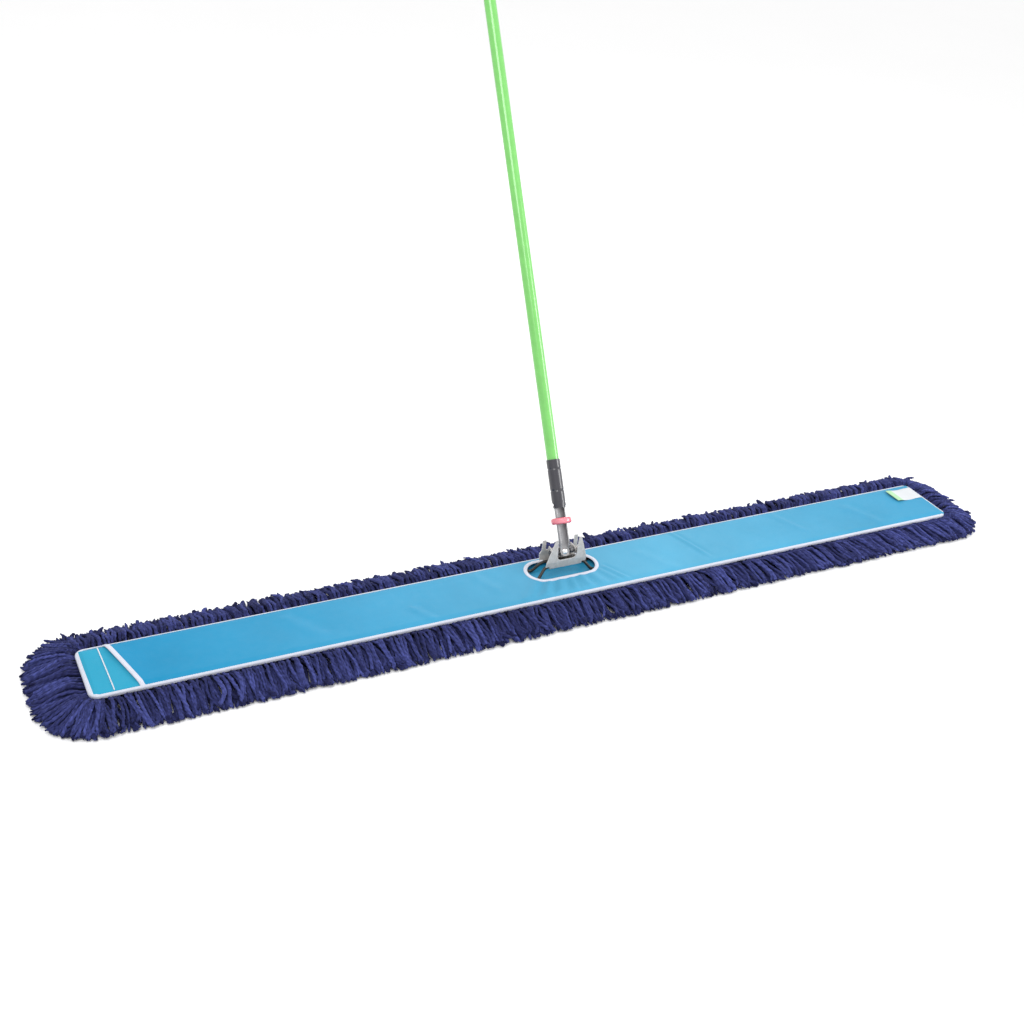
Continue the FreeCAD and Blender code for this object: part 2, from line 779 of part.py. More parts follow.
def leg():
    """A steel channel with a round foot. Its side walls rise from the rivet upwards."""
    body = new_body("leg")
    half = cell("leg_width") / 2
    top = cell("leg_top")
    sketch = new_sketch(body, "XZ_Plane", -web_back)
    outline(sketch, [
        (half, as_size(0)),
        (half, top),
        (-half, top),
        (-half, as_size(0), (as_size(0), as_size(0)), 1),
    ])
    pad(body, sketch, cell("leg_sheet"))
    for left in (-half, half - cell("leg_sheet")):
        sketch = new_sketch(body, "YZ_Plane", left)
        outline(sketch, [
            (web_back, cell("flange_start")),
            (web_back, top),
            (flange_front, top),
            (flange_front, cell("flange_full")),
            (web_front, cell("flange_start")),
        ])
        pad(body, sketch, cell("leg_sheet"))
    sketch = new_sketch(body, "XZ_Plane", -web_front)
    circle(sketch, as_size(0), as_size(0), cell("rivet_size") / 2 + cell("running_gap"))
    pocket(body, sketch, cell("leg_sheet"))
    sketch = new_sketch(body, "YZ_Plane", half + past)
    circle(sketch, axis_y, cell("cross_pin_at"), cell("cross_pin") / 2)
    pocket(body, sketch, (half + past) * 2)
    place_on_leg(body)


def turned(label, corners):
    """A piece turned about the handle's centre line, from its section (radius, height)."""
    body = new_body(label)
    sketch = new_sketch(body, "XZ_Plane", -axis_y)
    outline(sketch, corners)
    revolve(body, sketch)
    return body


def lock_ring():
    """A thick ring with rounded edges that slides on the leg."""
    bore = cell("ring_bore") / 2
    outer = cell("ring_size") / 2
    low = cell("ring_at") - cell("ring_height") / 2
    high = cell("ring_at") + cell("ring_height") / 2
    soft = cell("ring_round")
    body = turned("lock_ring", [
        (bore, low),
        (outer - soft, low, (outer - soft, low + soft), 1),
        (outer, low + soft),
        (outer, high - soft, (outer - soft, high - soft), 1),
        (outer - soft, high),
        (bore, high),
    ])
    place_on_leg(body)


def handle_socket():
    """A sleeve crimped in two bands on the handle, with a tapered foot round the leg."""
    bore = cell("tube_size") / 2 + cell("tube_fit")
    radius = socket_radius
    collar = cell("collar_bore") / 2
    foot = cell("socket_foot_size") / 2
    low, top = cell("socket_foot"), cell("socket_top")
    depth, wide = cell("crimp_depth"), cell("crimp_width") / 2
    step = cell("leg_top") + cell("leg_clear")
    corners = [(collar, low), (foot, low), (radius, cell("socket_shoulder"))]
    for at in (cell("crimp_low"), cell("crimp_high")):
        corners += [(radius, at - wide), (radius - depth, at), (radius, at + wide)]
    corners += [(radius, top), (bore, top), (bore, step), (collar, step)]
    body = turned("handle_socket", corners)
    sketch = new_sketch(body, "YZ_Plane", radius + past)
    circle(sketch, axis_y, cell("cross_pin_at"), cell("cross_pin") / 2)
    pocket(body, sketch, (radius + past) * 2)
    place_on_leg(body)


def socket_rivet():
    """A cross rivet that holds the leg in the socket."""
    body = new_body("socket_rivet")
    head = cell("cross_pin_head") / 2
    slope = (cell("cross_pin_at") + head - cell("socket_foot")) / (
        cell("socket_shoulder") - cell("socket_foot"))
    grow = socket_radius - cell("socket_foot_size") / 2
    wall = cell("socket_foot_size") / 2 + grow * slope
    sketch = new_sketch(body, "YZ_Plane", -wall)
    circle(sketch, axis_y, cell("cross_pin_at"), cell("cross_pin") / 2)
    pad(body, sketch, wall * 2)
    for start in (-wall - cell("cross_pin_crown"), wall):
        sketch = new_sketch(body, "YZ_Plane", start)
        circle(sketch, axis_y, cell("cross_pin_at"), head)
        pad(body, sketch, cell("cross_pin_crown"))
    place_on_leg(body)


tube_low = cell("leg_top") + cell("leg_clear") * 2
tube_high = tube_low + cell("tube_length")


def handle_tube():
    radius = cell("tube_size") / 2
    bore = radius - cell("tube_wall")
    body = turned("handle_tube", [
        (bore, tube_low), (radius, tube_low), (radius, tube_high), (bore, tube_high)])
    place_on_leg(body)


def hang_cap():
    """A soft end cap: a plug in the tube, a skirt round it, and a flat tongue with a hole."""
    plug = cell("tube_size") / 2 - cell("tube_wall")
    bore = cell("tube_size") / 2
    radius = bore + cell("cap_wall")
    top = tube_high + cell("cap_length")
    body = turned("hang_cap", [
        (as_size(0), tube_high - cell("cap_plug")),
        (plug, tube_high - cell("cap_plug")),
        (plug, tube_high),
        (bore, tube_high),
        (bore, tube_high - cell("cap_skirt")),
        (radius, tube_high - cell("cap_skirt")),
        (radius, top - radius, (as_size(0), top - radius), 1),
        (as_size(0), top),
    ])
    half_flat = cell("cap_flat") / 2
    shoulder = tube_high + cell("cap_shoulder")
    far = radius + past
    for start in (far - axis_y, -axis_y - half_flat):
        sketch = new_sketch(body, "XZ_Plane", start)
        outline(sketch, [
            (-far, shoulder),
            (far, shoulder),
            (far, top + past),
            (-far, top + past),
        ])
        pocket(body, sketch, far - half_flat)
    sketch = new_sketch(body, "XZ_Plane", far - axis_y)
    circle(sketch, as_size(0), top - radius, cell("hang_hole") / 2)
    pocket(body, sketch, (radius + past) * 2)
    place_on_leg(body)


def build():
    """Make every piece of the mop."""
    yarn_pad()
    base_canvas()
    end_flap()
    top_panel()
    edge_binding()
    mouth_binding()
    opening_binding()
    care_label()
    side_skirt("skirt_front", -1)
    side_skirt("skirt_back", 1)
    end_skirt("skirt_left", -1)
    end_skirt("skirt_right", 1)
    frame_wire("frame_wire_front", -1)
    frame_wire("frame_wire_back", 1)
    frame_ferrules()
    front_jaw()
    rear_jaw()
    torsion_springs()
    trunnion_clips()
    swivel_block()
    rivet_washer()
    pivot_rivet()
    leg()
    lock_ring()
    handle_socket()
    socket_rivet()
    handle_tube()
    hang_cap()


def check_and_write():
    """Refuse anything failed or invalid, then write one file for each piece."""
    doc.recompute()
    for item in doc.Objects:
        if "Invalid" in item.State or "Error" in item.State:
            raise RuntimeError(f"{item.Label} did not compute: {item.State}")
    for item in PARTS:
        if item.Shape.isNull() or not item.Shape.isValid() or not item.Shape.Solids:
            raise RuntimeError(f"{item.Label} has no valid solid")
    os.makedirs("parts", exist_ok=True)
    for item in PARTS:
        item.Shape.exportStep(f"parts/{item.Label}.step")
        print(f"{item.Label}: {len(item.Shape.Solids)} solid(s), {item.Shape.Volume:.0f} mm3")


build()
check_and_write()
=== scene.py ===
# %% [markdown]
# # A wide flat dust mop
# The real mop is a cloth envelope on a bent wire frame. Twisted yarn hangs out all round it, and
# a spring clip with a two-way swivel joins the head to a long green handle. The packed parts
# give every size and every joint. This script adds the yarn, the cloth, the tapes and the
# finishes, and it leaves the metal parts where they are.

# %% Load the packed parts
import math

import bpy
import numpy as np
from mathutils import Matrix, Vector


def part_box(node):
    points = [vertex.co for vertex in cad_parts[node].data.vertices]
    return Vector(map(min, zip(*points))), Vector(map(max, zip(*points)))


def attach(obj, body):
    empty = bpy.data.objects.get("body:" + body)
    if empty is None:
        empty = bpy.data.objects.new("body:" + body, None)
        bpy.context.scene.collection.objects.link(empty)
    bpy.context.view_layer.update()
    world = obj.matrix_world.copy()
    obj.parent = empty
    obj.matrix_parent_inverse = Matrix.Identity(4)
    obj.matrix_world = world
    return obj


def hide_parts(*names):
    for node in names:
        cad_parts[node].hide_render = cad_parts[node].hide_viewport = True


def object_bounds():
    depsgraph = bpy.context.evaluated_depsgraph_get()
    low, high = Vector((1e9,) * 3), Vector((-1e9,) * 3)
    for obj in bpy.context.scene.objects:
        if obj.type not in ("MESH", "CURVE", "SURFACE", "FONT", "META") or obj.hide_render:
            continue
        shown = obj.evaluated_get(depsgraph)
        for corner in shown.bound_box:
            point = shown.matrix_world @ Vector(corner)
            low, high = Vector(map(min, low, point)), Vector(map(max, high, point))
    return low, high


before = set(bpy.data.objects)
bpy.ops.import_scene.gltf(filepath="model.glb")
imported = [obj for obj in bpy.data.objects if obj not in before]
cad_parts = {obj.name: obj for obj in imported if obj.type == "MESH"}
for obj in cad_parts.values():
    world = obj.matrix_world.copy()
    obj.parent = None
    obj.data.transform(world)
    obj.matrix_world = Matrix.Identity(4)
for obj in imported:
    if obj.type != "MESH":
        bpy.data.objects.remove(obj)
cad_low, cad_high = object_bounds()
print("packed box:", [round(v, 3) for v in (*cad_low, *cad_high)])

# %% [markdown]
# ## Shared sizes
# The frame already knows how long and wide the head is, where the pocket mouth starts and where
# the opening lies. Reading them from the packed boxes keeps the cloth and the metal together:
# if the head were packed at another size, the sheets and the yarn would follow it. Only what a
# box can't show is typed here: the round corners, the tapes' width and laps, and the mouth's skew.

# %% Sizes that the cloth and the yarn share, in metres
MM = 0.001
canvas_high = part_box("base_canvas")[1]
panel_low, panel_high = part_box("top_panel")
flap_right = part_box("end_flap")[1].x
half_length = canvas_high.x
half_width = canvas_high.y
corner = 16 * MM
tape_wide = 7 * MM
sheet_top = panel_high.z
mouth_back = panel_low.x
mouth_skew = 37 * MM
hole_low, hole_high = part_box("opening_binding")
hole_lap = 6.3 * MM
hole_centre = (hole_low + hole_high) / 2
hole_round = (hole_high.y - hole_low.y) / 2 - hole_lap
hole_reach = (hole_high.x - hole_low.x) / 2 - hole_lap - hole_round
print("head:", round(half_length * 2, 4), "x", round(half_width * 2, 4))

# %% [markdown]
# ## The camera
# An ordinary lens at eye height, in front of the mop and to its left, looking down along it. The
# rig is a place, three angles and a lens. The third angle rolls the view, so that the mop runs
# uphill in it.

# %% Camera
def aim_camera(place, azimuth, elevation, roll, lens):
    """A camera at a place. Azimuth 0 looks along +Y, and roll turns the view."""
    a, e, r = (math.radians(v) for v in (azimuth, elevation, roll))
    right = Vector((math.cos(a), math.sin(a), 0))
    back = Vector((math.sin(a) * math.cos(e), -math.cos(a) * math.cos(e), math.sin(e)))
    up = back.cross(right)
    rolled_right = right * math.cos(r) + up * math.sin(r)
    rolled_up = up * math.cos(r) - right * math.sin(r)
    camera = bpy.data.objects.new("camera", bpy.data.cameras.new("camera"))
    bpy.context.scene.collection.objects.link(camera)
    turn = Matrix((rolled_right, rolled_up, back)).transposed().to_4x4()
    camera.matrix_world = Matrix.Translation(place) @ turn
    camera.data.lens = lens
    camera.data.clip_end = 50
    bpy.context.scene.camera = camera
    return camera


aim_camera((-1.1735, -1.8701, 1.4535), -29.13, 30.48, 5.47, 47.53)
print("camera ready")

# %% [markdown]
# ## Helpers for materials
# Every finish is a Principled shader with its own colours. Effects that several finishes need,
# such as weave, mottling, edge wear and dust, are node groups. A group puts out only values and
# normals, so the shader stays in the material, where an exporter can read it.

# %% Material helper
def new_material(name, color, roughness, metallic=0.0):
    """A material with one Principled shader. Returns the material, its nodes and the shader."""
    material = bpy.data.materials.new(name)
    material.use_nodes = True
    shader = material.node_tree.nodes["Principled BSDF"]
    shader.inputs["Base Color"].default_value = (*color, 1)
    shader.inputs["Roughness"].default_value = roughness
    shader.inputs["Metallic"].default_value = metallic
    return material, Net(material.node_tree), shader


print("material helper ready")

# %% [markdown]
# ### Short words for nodes
# Adding a node, setting its inputs and joining it to the next one takes three lines each time.
# One small class holds the tree and says each of these in a word.

# %% Node helpers
class Net:
    """Short words for adding and joining nodes in one tree."""

    def __init__(self, tree):
        self.tree = tree

    def add(self, kind, label=None, **inputs):
        node = self.tree.nodes.new(kind)
        if label:
            node.label = label
        for key, value in inputs.items():
            self.put(node.inputs[key.replace("_", " ")], value)
        return node

    def put(self, socket, value):
        if isinstance(value, bpy.types.NodeSocket):
            self.tree.links.new(value, socket)
        else:
            socket.default_value = value

    def math(self, operation, first, second=0.0):
        node = self.tree.nodes.new("ShaderNodeMath")
        node.operation = operation
        for socket, value in zip(node.inputs, (first, second)):
            self.put(socket, value)
        return node.outputs[0]

    def blend(self, share, first, second, how="MIX"):
        """Mix two colours. Each is a socket or an (r, g, b) tuple."""
        node = self.tree.nodes.new("ShaderNodeMix")
        node.data_type = "RGBA"
        node.blend_type = how
        self.put(node.inputs[0], share)
        for socket, value in zip((node.inputs[6], node.inputs[7]), (first, second)):
            self.put(socket, (*value, 1) if isinstance(value, tuple) else value)
        return node.outputs[2]

    def group(self, tree, **inputs):
        node = self.tree.nodes.new("ShaderNodeGroup")
        node.node_tree = tree
        for key, value in inputs.items():
            self.put(node.inputs[key.replace("_", " ")], value)
        return node

    def bump(self, height, strength, distance, normal=None):
        node = self.add("ShaderNodeBump", Strength=strength, Distance=distance, Height=height)
        if normal is not None:
            self.put(node.inputs["Normal"], normal)
        return node.outputs["Normal"]


print("node words ready:", [word for word in vars(Net) if not word.startswith("_")])

# %% [markdown]
# ### A group with named sockets
# A node group is a small machine with labelled inputs and outputs. Its sockets are made on its
# interface first, and then its nodes are joined between the two end nodes.

# %% Group helper
def new_group(name, inputs, outputs):
    """An empty node group. Inputs are (name, value); outputs are names. All are numbers."""
    tree = bpy.data.node_groups.new(name, "ShaderNodeTree")
    for label, value in inputs:
        socket = tree.interface.new_socket(label, in_out="INPUT", socket_type="NodeSocketFloat")
        socket.default_value = value
    for label in outputs:
        tree.interface.new_socket(label, in_out="OUTPUT", socket_type="NodeSocketFloat")
    net = Net(tree)
    return tree, net, net.add("NodeGroupInput"), net.add("NodeGroupOutput")


print("group helper ready")


# %% [markdown]
# ### Weave
# Plain-woven cloth is two sets of threads that pass over and under each other. Two sine waves
# give the round threads, and a checker decides which set is on top. It follows object
# coordinates, so the thread count is a real one: threads per metre.

# %% Weave group
def make_weave():
    tree, net, given, out = new_group("weave", [("Threads", 900), ("Turn", 0)], ["Height", "Gap"])
    place = net.add("ShaderNodeTexCoord").outputs["Object"]
    turn = net.add("ShaderNodeCombineXYZ", Z=given.outputs["Turn"]).outputs[0]
    spin = net.add("ShaderNodeVectorRotate", Vector=place)
    spin.rotation_type = "EULER_XYZ"
    net.put(spin.inputs["Rotation"], turn)
    axes = net.add("ShaderNodeSeparateXYZ", Vector=spin.outputs[0])
    across = net.math("MULTIPLY", axes.outputs["X"], given.outputs["Threads"])
    tall = net.math("ADD", axes.outputs["Y"], axes.outputs["Z"])
    along = net.math("MULTIPLY", tall, given.outputs["Threads"])
    wave_x = net.math("ABSOLUTE", net.math("SINE", net.math("MULTIPLY", across, math.pi)))
    wave_y = net.math("ABSOLUTE", net.math("SINE", net.math("MULTIPLY", along, math.pi)))
    parity = net.math("ADD", net.math("FLOOR", across), net.math("FLOOR", along))
    odd = net.math("PINGPONG", parity, 1.0)
    top = net.math("MULTIPLY", wave_x, odd)
    under = net.math("MULTIPLY", wave_y, net.math("SUBTRACT", 1.0, odd))
    net.put(out.inputs["Height"], net.math("ADD", top, under))
    net.put(out.inputs["Gap"], net.math("SUBTRACT", 1.0, net.math("MAXIMUM", wave_x, wave_y)))
    return tree


weave = make_weave()
print("group:", weave.name)

# %% [markdown]
# ### Mottle
# Nothing real has one even colour. This group gives a slow noise and a fine noise, as a value
# about one that a colour can be multiplied by.

# %% Mottle group
def make_mottle():
    tree, net, given, out = new_group(
        "mottle", [("Size", 20), ("Amount", 0.2), ("Stretch", 1)], ["Value", "Fine"])
    place = net.add("ShaderNodeTexCoord").outputs["Object"]
    scale = net.add("ShaderNodeCombineXYZ", X=1.0, Y=given.outputs["Stretch"], Z=1.0).outputs[0]
    mapped = net.add("ShaderNodeVectorMath", label="stretch")
    mapped.operation = "MULTIPLY"
    net.put(mapped.inputs[0], place)
    net.put(mapped.inputs[1], scale)
    slow = net.add("ShaderNodeTexNoise", Vector=mapped.outputs[0], Scale=given.outputs["Size"],
                   Detail=3.0)
    finer = net.math("MULTIPLY", given.outputs["Size"], 9.0)
    fine = net.add("ShaderNodeTexNoise", Vector=mapped.outputs[0], Scale=finer, Detail=4.0)
    centred = net.math("SUBTRACT", slow.outputs["Fac"], 0.5)
    swing = net.math("MULTIPLY", centred, given.outputs["Amount"])
    net.put(out.inputs["Value"], net.math("ADD", net.math("MULTIPLY", swing, 2.0), 1.0))
    net.put(out.inputs["Fine"], fine.outputs["Fac"])
    return tree


mottle = make_mottle()
print("group:", mottle.name)

# %% [markdown]
# ### Edge wear
# Plating and paint rub thin on edges. A Bevel node bends the normal near an edge, so the dot
# product with the true normal falls there, and noise breaks the line up.

# %% Edge wear group
def make_edge_wear():
    tree, net, given, out = new_group("edge_wear", [("Width", 0.0006), ("Size", 300)], ["Mask"])
    soft = net.add("ShaderNodeBevel", Radius=given.outputs["Width"])
    soft.samples = 4
    true = net.add("ShaderNodeNewGeometry")
    dot = net.add("ShaderNodeVectorMath")
    dot.operation = "DOT_PRODUCT"
    net.put(dot.inputs[0], soft.outputs[0])
    net.put(dot.inputs[1], true.outputs["Normal"])
    bent = net.math("SUBTRACT", 1.0, dot.outputs["Value"])
    place = net.add("ShaderNodeTexCoord").outputs["Object"]
    noise = net.add("ShaderNodeTexNoise", Vector=place, Scale=given.outputs["Size"], Detail=3.0)
    broken = net.math("MULTIPLY", net.math("MULTIPLY", bent, 9.0), noise.outputs["Fac"])
    net.put(out.inputs["Mask"], net.math("MINIMUM", broken, 1.0))
    return tree


edge_wear = make_edge_wear()
print("group:", edge_wear.name)


# %% [markdown]
# ### Dust
# Lint settles on what faces up. The group reads the true normal's height and breaks it up.

# %% Dust group
def make_dust():
    tree, net, given, out = new_group("dust", [("Size", 90), ("Amount", 0.3)], ["Mask"])
    normal = net.add("ShaderNodeSeparateXYZ",
                     Vector=net.add("ShaderNodeNewGeometry").outputs["Normal"])
    place = net.add("ShaderNodeTexCoord").outputs["Object"]
    noise = net.add("ShaderNodeTexNoise", Vector=place, Scale=given.outputs["Size"], Detail=5.0)
    up = net.math("MAXIMUM", normal.outputs["Z"], 0.0)
    patch = net.math("MULTIPLY", noise.outputs["Fac"], given.outputs["Amount"])
    net.put(out.inputs["Mask"], net.math("MULTIPLY", up, patch))
    return tree


dust = make_dust()
print("group:", dust.name)


# %% [markdown]
# ## Finishes of the cloth
# The envelope is a coated nylon weave: a smooth cyan with a fine thread. Its colour carries a painted
# sheen, paler from the left end towards the middle. The tapes are a matt white ribbed weave.

# %% Cloth materials
def envelope_finish(name, deep, painted_sheen_color, threads):
    material, net, shader = new_material(name, deep, 0.5)
    cloth = net.group(weave, Threads=threads)
    patch = net.group(mottle, Size=7.0, Amount=0.16)
    place = net.add("ShaderNodeTexCoord").outputs["Object"]
    along = net.add("ShaderNodeSeparateXYZ", Vector=place).outputs["X"]
    # Painted sheen: the colour goes from deep at the left end to the sheen colour past the middle, and
    # halfway back at the right end.
    share = net.add("ShaderNodeMapRange", Value=along)
    share.inputs["From Min"].default_value = -half_length
    share.inputs["From Max"].default_value = half_length * 0.12
    sheen_falloff = net.add("ShaderNodeMapRange", Value=along)
    sheen_falloff.inputs["From Min"].default_value = half_length * 0.3
    sheen_falloff.inputs["From Max"].default_value = half_length
    sheen_falloff.inputs["To Min"].default_value = 1.0
    sheen_falloff.inputs["To Max"].default_value = 0.5
    fade = net.math("MULTIPLY", share.outputs[0], sheen_falloff.outputs[0])
    base = net.blend(fade, deep, painted_sheen_color)
    shade = net.blend(1.0, base, patch.outputs["Value"], "MULTIPLY")
    darker = net.blend(net.math("MULTIPLY", cloth.outputs["Gap"], 0.35), shade, (0.0, 0.12, 0.24))
    lint = net.group(dust, Size=60.0, Amount=0.02)
    net.put(shader.inputs["Base Color"], net.blend(lint.outputs["Mask"], darker, (0.8, 0.85, 0.9)))
    rough = net.math("ADD", net.math("MULTIPLY", patch.outputs["Fine"], 0.18), 0.36)
    net.put(shader.inputs["Roughness"], rough)
    thread = net.bump(cloth.outputs["Height"], 0.25, 0.0002)
    shader.inputs["Specular IOR Level"].default_value = 0.1
    net.put(shader.inputs["Normal"], net.bump(patch.outputs["Fine"], 0.12, 0.0006, thread))
    return material


def ribbed_tape(name, color, threads):
    material, net, shader = new_material(name, color, 0.85)
    cloth = net.group(weave, Threads=threads)
    patch = net.group(mottle, Size=40.0, Amount=0.07)
    tone = net.blend(1.0, color, patch.outputs["Value"], "MULTIPLY")
    shaded = net.math("MULTIPLY", cloth.outputs["Gap"], 0.5)
    net.put(shader.inputs["Base Color"], net.blend(shaded, tone, (0.45, 0.5, 0.58)))
    net.put(shader.inputs["Normal"], net.bump(cloth.outputs["Height"], 0.5, 0.0003))
    shader.inputs["Sheen Weight"].default_value = 0.2
    return material


backing = envelope_finish("cyan_coated_nylon", (0.0003, 0.225, 0.43), (0.078, 0.335, 0.515), 1100.0)
flap_cloth = envelope_finish("pale_cyan_nylon", (0.018, 0.30, 0.46), (0.03, 0.32, 0.48), 1100.0)
canvas_cloth = envelope_finish("cyan_canvas", (0.004, 0.20, 0.40), (0.02, 0.27, 0.46), 700.0)
tape = ribbed_tape("white_binding_tape", (0.58, 0.60, 0.69), 1000.0)
thread = ribbed_tape("white_thread", (0.86, 0.87, 0.90), 2600.0)
print("cloth finishes ready")

# %% [markdown]
# The care label is white with one pale green band and no words. The band is a smooth step
# along X, so its edge stays sharp at any size.

# %% Label material
def label_finish():
    low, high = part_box("care_label")
    material, net, shader = new_material("white_label", (0.58, 0.60, 0.62), 0.7)
    place = net.add("ShaderNodeTexCoord").outputs["Object"]
    along = net.add("ShaderNodeSeparateXYZ", Vector=place).outputs["X"]
    band = net.add("ShaderNodeMapRange", Value=along)
    band.inputs["From Min"].default_value = low.x + 15 * MM
    band.inputs["From Max"].default_value = low.x + 16 * MM
    cloth = net.group(weave, Threads=1500.0)
    base = net.blend(band.outputs[0], (0.36, 0.60, 0.34), (0.58, 0.60, 0.62))
    net.put(shader.inputs["Base Color"],
            net.blend(net.math("MULTIPLY", cloth.outputs["Gap"], 0.3), base, (0.5, 0.55, 0.6)))
    net.put(shader.inputs["Normal"], net.bump(cloth.outputs["Height"], 0.3, 0.0002))
    print("label band:", round(high.x - low.x, 4), "m label")
    return material


label_cloth = label_finish()

# %% [markdown]
# ## The yarn's finish
# Mop yarn is four plies twisted together. The strands are real geometry with two lobes that
# turn along their length. The material adds the fine plies as slanting stripes, from the
# strand's own coordinates: u goes round it and v goes along it. Each strand carries its own
# tone, with painted shade in it: the roots, under the edge of the head, and the lower layers are darker.

# %% Yarn material
def yarn_finish():
    material, net, shader = new_material("navy_yarn", (0.03, 0.04, 0.16), 0.95)
    ends = net.add("ShaderNodeUVMap")
    ends.uv_map = "strand"
    axes = net.add("ShaderNodeSeparateXYZ", Vector=ends.outputs[0])
    slant = net.math("ADD", net.math("MULTIPLY", axes.outputs["X"], 2.0), axes.outputs["Y"])
    ply = net.math("ABSOLUTE", net.math("SINE", net.math("MULTIPLY", slant, math.pi)))
    tone = net.add("ShaderNodeAttribute")
    tone.attribute_name = "tone"
    fluff = net.group(mottle, Size=160.0, Amount=0.5)
    # The tone attribute holds each strand's random tone and painted shade: darker roots and darker lower
    # layers.
    base = net.blend(tone.outputs["Fac"], (0.003, 0.003, 0.025), (0.066, 0.080, 0.28))
    plied = net.blend(net.math("MULTIPLY", net.math("SUBTRACT", 1.0, ply), 0.45), base,
                      (0.003, 0.003, 0.02))
    net.put(shader.inputs["Base Color"],
            net.blend(1.0, plied, fluff.outputs["Value"], "MULTIPLY"))
    round_ply = net.bump(ply, 0.5, 0.0008)
    net.put(shader.inputs["Normal"], net.bump(fluff.outputs["Fine"], 0.5, 0.0008, round_ply))
    shader.inputs["Specular IOR Level"].default_value = 0.15
    shader.inputs["Sheen Weight"].default_value = 0.08
    shader.inputs["Sheen Roughness"].default_value = 0.5
    shader.inputs["Sheen Tint"].default_value = (0.45, 0.5, 1.0, 1)
    return material


yarn = yarn_finish()
print("yarn finish ready")

# %% [markdown]
# ## Finishes of the metal and plastic
# Galvanised sheet shows zinc crystals, so its roughness and tone come from Voronoi cells.
# Drawn wire and the coated socket show fine lines along their length. Edges are worn bright.

# %% Metal and plastic materials
def galvanised(name, color, cell_size, rough, metal=1.0):
    material, net, shader = new_material(name, color, rough, metal)
    place = net.add("ShaderNodeTexCoord").outputs["Object"]
    crystal = net.add("ShaderNodeTexVoronoi", Vector=place, Scale=cell_size)
    flake = net.add("ShaderNodeSeparateXYZ", Vector=crystal.outputs["Color"]).outputs["X"]
    grain = net.group(mottle, Size=120.0, Amount=0.25, Stretch=0.2)
    worn = net.group(edge_wear, Width=0.0007)
    tone = net.blend(net.math("MULTIPLY", flake, 0.35), color, tuple(c * 0.72 for c in color))
    tone = net.blend(1.0, tone, grain.outputs["Value"], "MULTIPLY")
    net.put(shader.inputs["Base Color"], net.blend(worn.outputs["Mask"], tone, (0.93, 0.93, 0.94)))
    spread = net.math("ADD", net.math("MULTIPLY", flake, 0.16), rough - 0.06)
    net.put(shader.inputs["Roughness"], spread)
    net.put(shader.inputs["Normal"], net.bump(grain.outputs["Fine"], 0.10, 0.0003))
    return material


def painted(name, color, rough, worn_color, coat=0.0, streak=1.0):
    """Paint, coating or moulded plastic with faint lines along it and worn edges."""
    material, net, shader = new_material(name, color, rough)
    grain = net.group(mottle, Size=70.0, Amount=0.14, Stretch=streak)
    worn = net.group(edge_wear, Width=0.0006)
    lint = net.group(dust, Size=140.0, Amount=0.05)
    tone = net.blend(1.0, color, grain.outputs["Value"], "MULTIPLY")
    tone = net.blend(net.math("MULTIPLY", worn.outputs["Mask"], 0.6), tone, worn_color)
    net.put(shader.inputs["Base Color"], net.blend(lint.outputs["Mask"], tone, (0.6, 0.6, 0.62)))
    net.put(shader.inputs["Roughness"],
            net.math("ADD", net.math("MULTIPLY", grain.outputs["Fine"], 0.14), rough - 0.07))
    net.put(shader.inputs["Normal"], net.bump(grain.outputs["Fine"], 0.06, 0.0003))
    shader.inputs["Coat Weight"].default_value = coat
    shader.inputs["Coat Roughness"].default_value = 0.12
    return material


clip_steel = galvanised("galvanised_sheet", (0.56, 0.54, 0.52), 160.0, 0.55, 0.55)
leg_steel = galvanised("galvanised_channel", (0.30, 0.30, 0.31), 200.0, 0.45, 0.7)
wire_steel = galvanised("dull_wire", (0.07, 0.066, 0.06), 420.0, 0.5)
spring_steel = galvanised("dark_spring_steel", (0.09, 0.09, 0.10), 500.0, 0.38)
block_steel = galvanised("machined_block", (0.20, 0.20, 0.21), 320.0, 0.35)
rivet_steel = galvanised("bright_rivet", (0.93, 0.93, 0.93), 260.0, 0.2)
socket_coat = painted("dark_socket_coat", (0.016, 0.015, 0.024), 0.34, (0.25, 0.25, 0.27), 0.5)
tube_glass = painted("green_tube", (0.15, 0.50, 0.10), 0.25, (0.5, 0.85, 0.45), 0.7, 0.05)
cap_vinyl = painted("black_vinyl", (0.02, 0.02, 0.022), 0.55, (0.09, 0.09, 0.095))
print("metal and plastic finishes ready")

# %% [markdown]
# The lock ring is a clear red plastic, deep red. Its base colour is painted pale pink where it faces
# the view, a painted highlight, by Layer Weight Facing. Some transmission and subsurface let light in.

# %% Ring material
def ring_finish():
    material, net, shader = new_material("clear_red_plastic", (0.95, 0.10, 0.22), 0.25)
    cloud = net.group(mottle, Size=60.0, Amount=0.2)
    # Painted highlight: the base colour is pale pink where the ring faces the view and deep red at its
    # rims.
    rim = net.add("ShaderNodeLayerWeight", Blend=0.35).outputs["Facing"]
    tone = net.blend(net.math("POWER", rim, 0.8), (0.85, 0.30, 0.36), (0.70, 0.0, 0.05))
    tone = net.blend(1.0, tone, cloud.outputs["Value"], "MULTIPLY")
    net.put(shader.inputs["Base Color"], tone)
    shader.inputs["Transmission Weight"].default_value = 0.15
    shader.inputs["Subsurface Weight"].default_value = 0.4
    shader.inputs["Subsurface Radius"].default_value = (0.02, 0.006, 0.006)
    shader.inputs["Coat Weight"].default_value = 0.8
    shader.inputs["Coat Roughness"].default_value = 0.08
    net.put(shader.inputs["Normal"], net.bump(cloud.outputs["Fine"], 0.05, 0.0003))
    return material


ring_plastic = ring_finish()
print("ring finish:", ring_plastic.name)

# %% [markdown]
# ## Dressing the packed metal parts
# Their shapes are right, so each keeps its mesh and gets a finish in its material slots.
# Smooth shading with sharp edges over 35 degrees makes the round faces round.

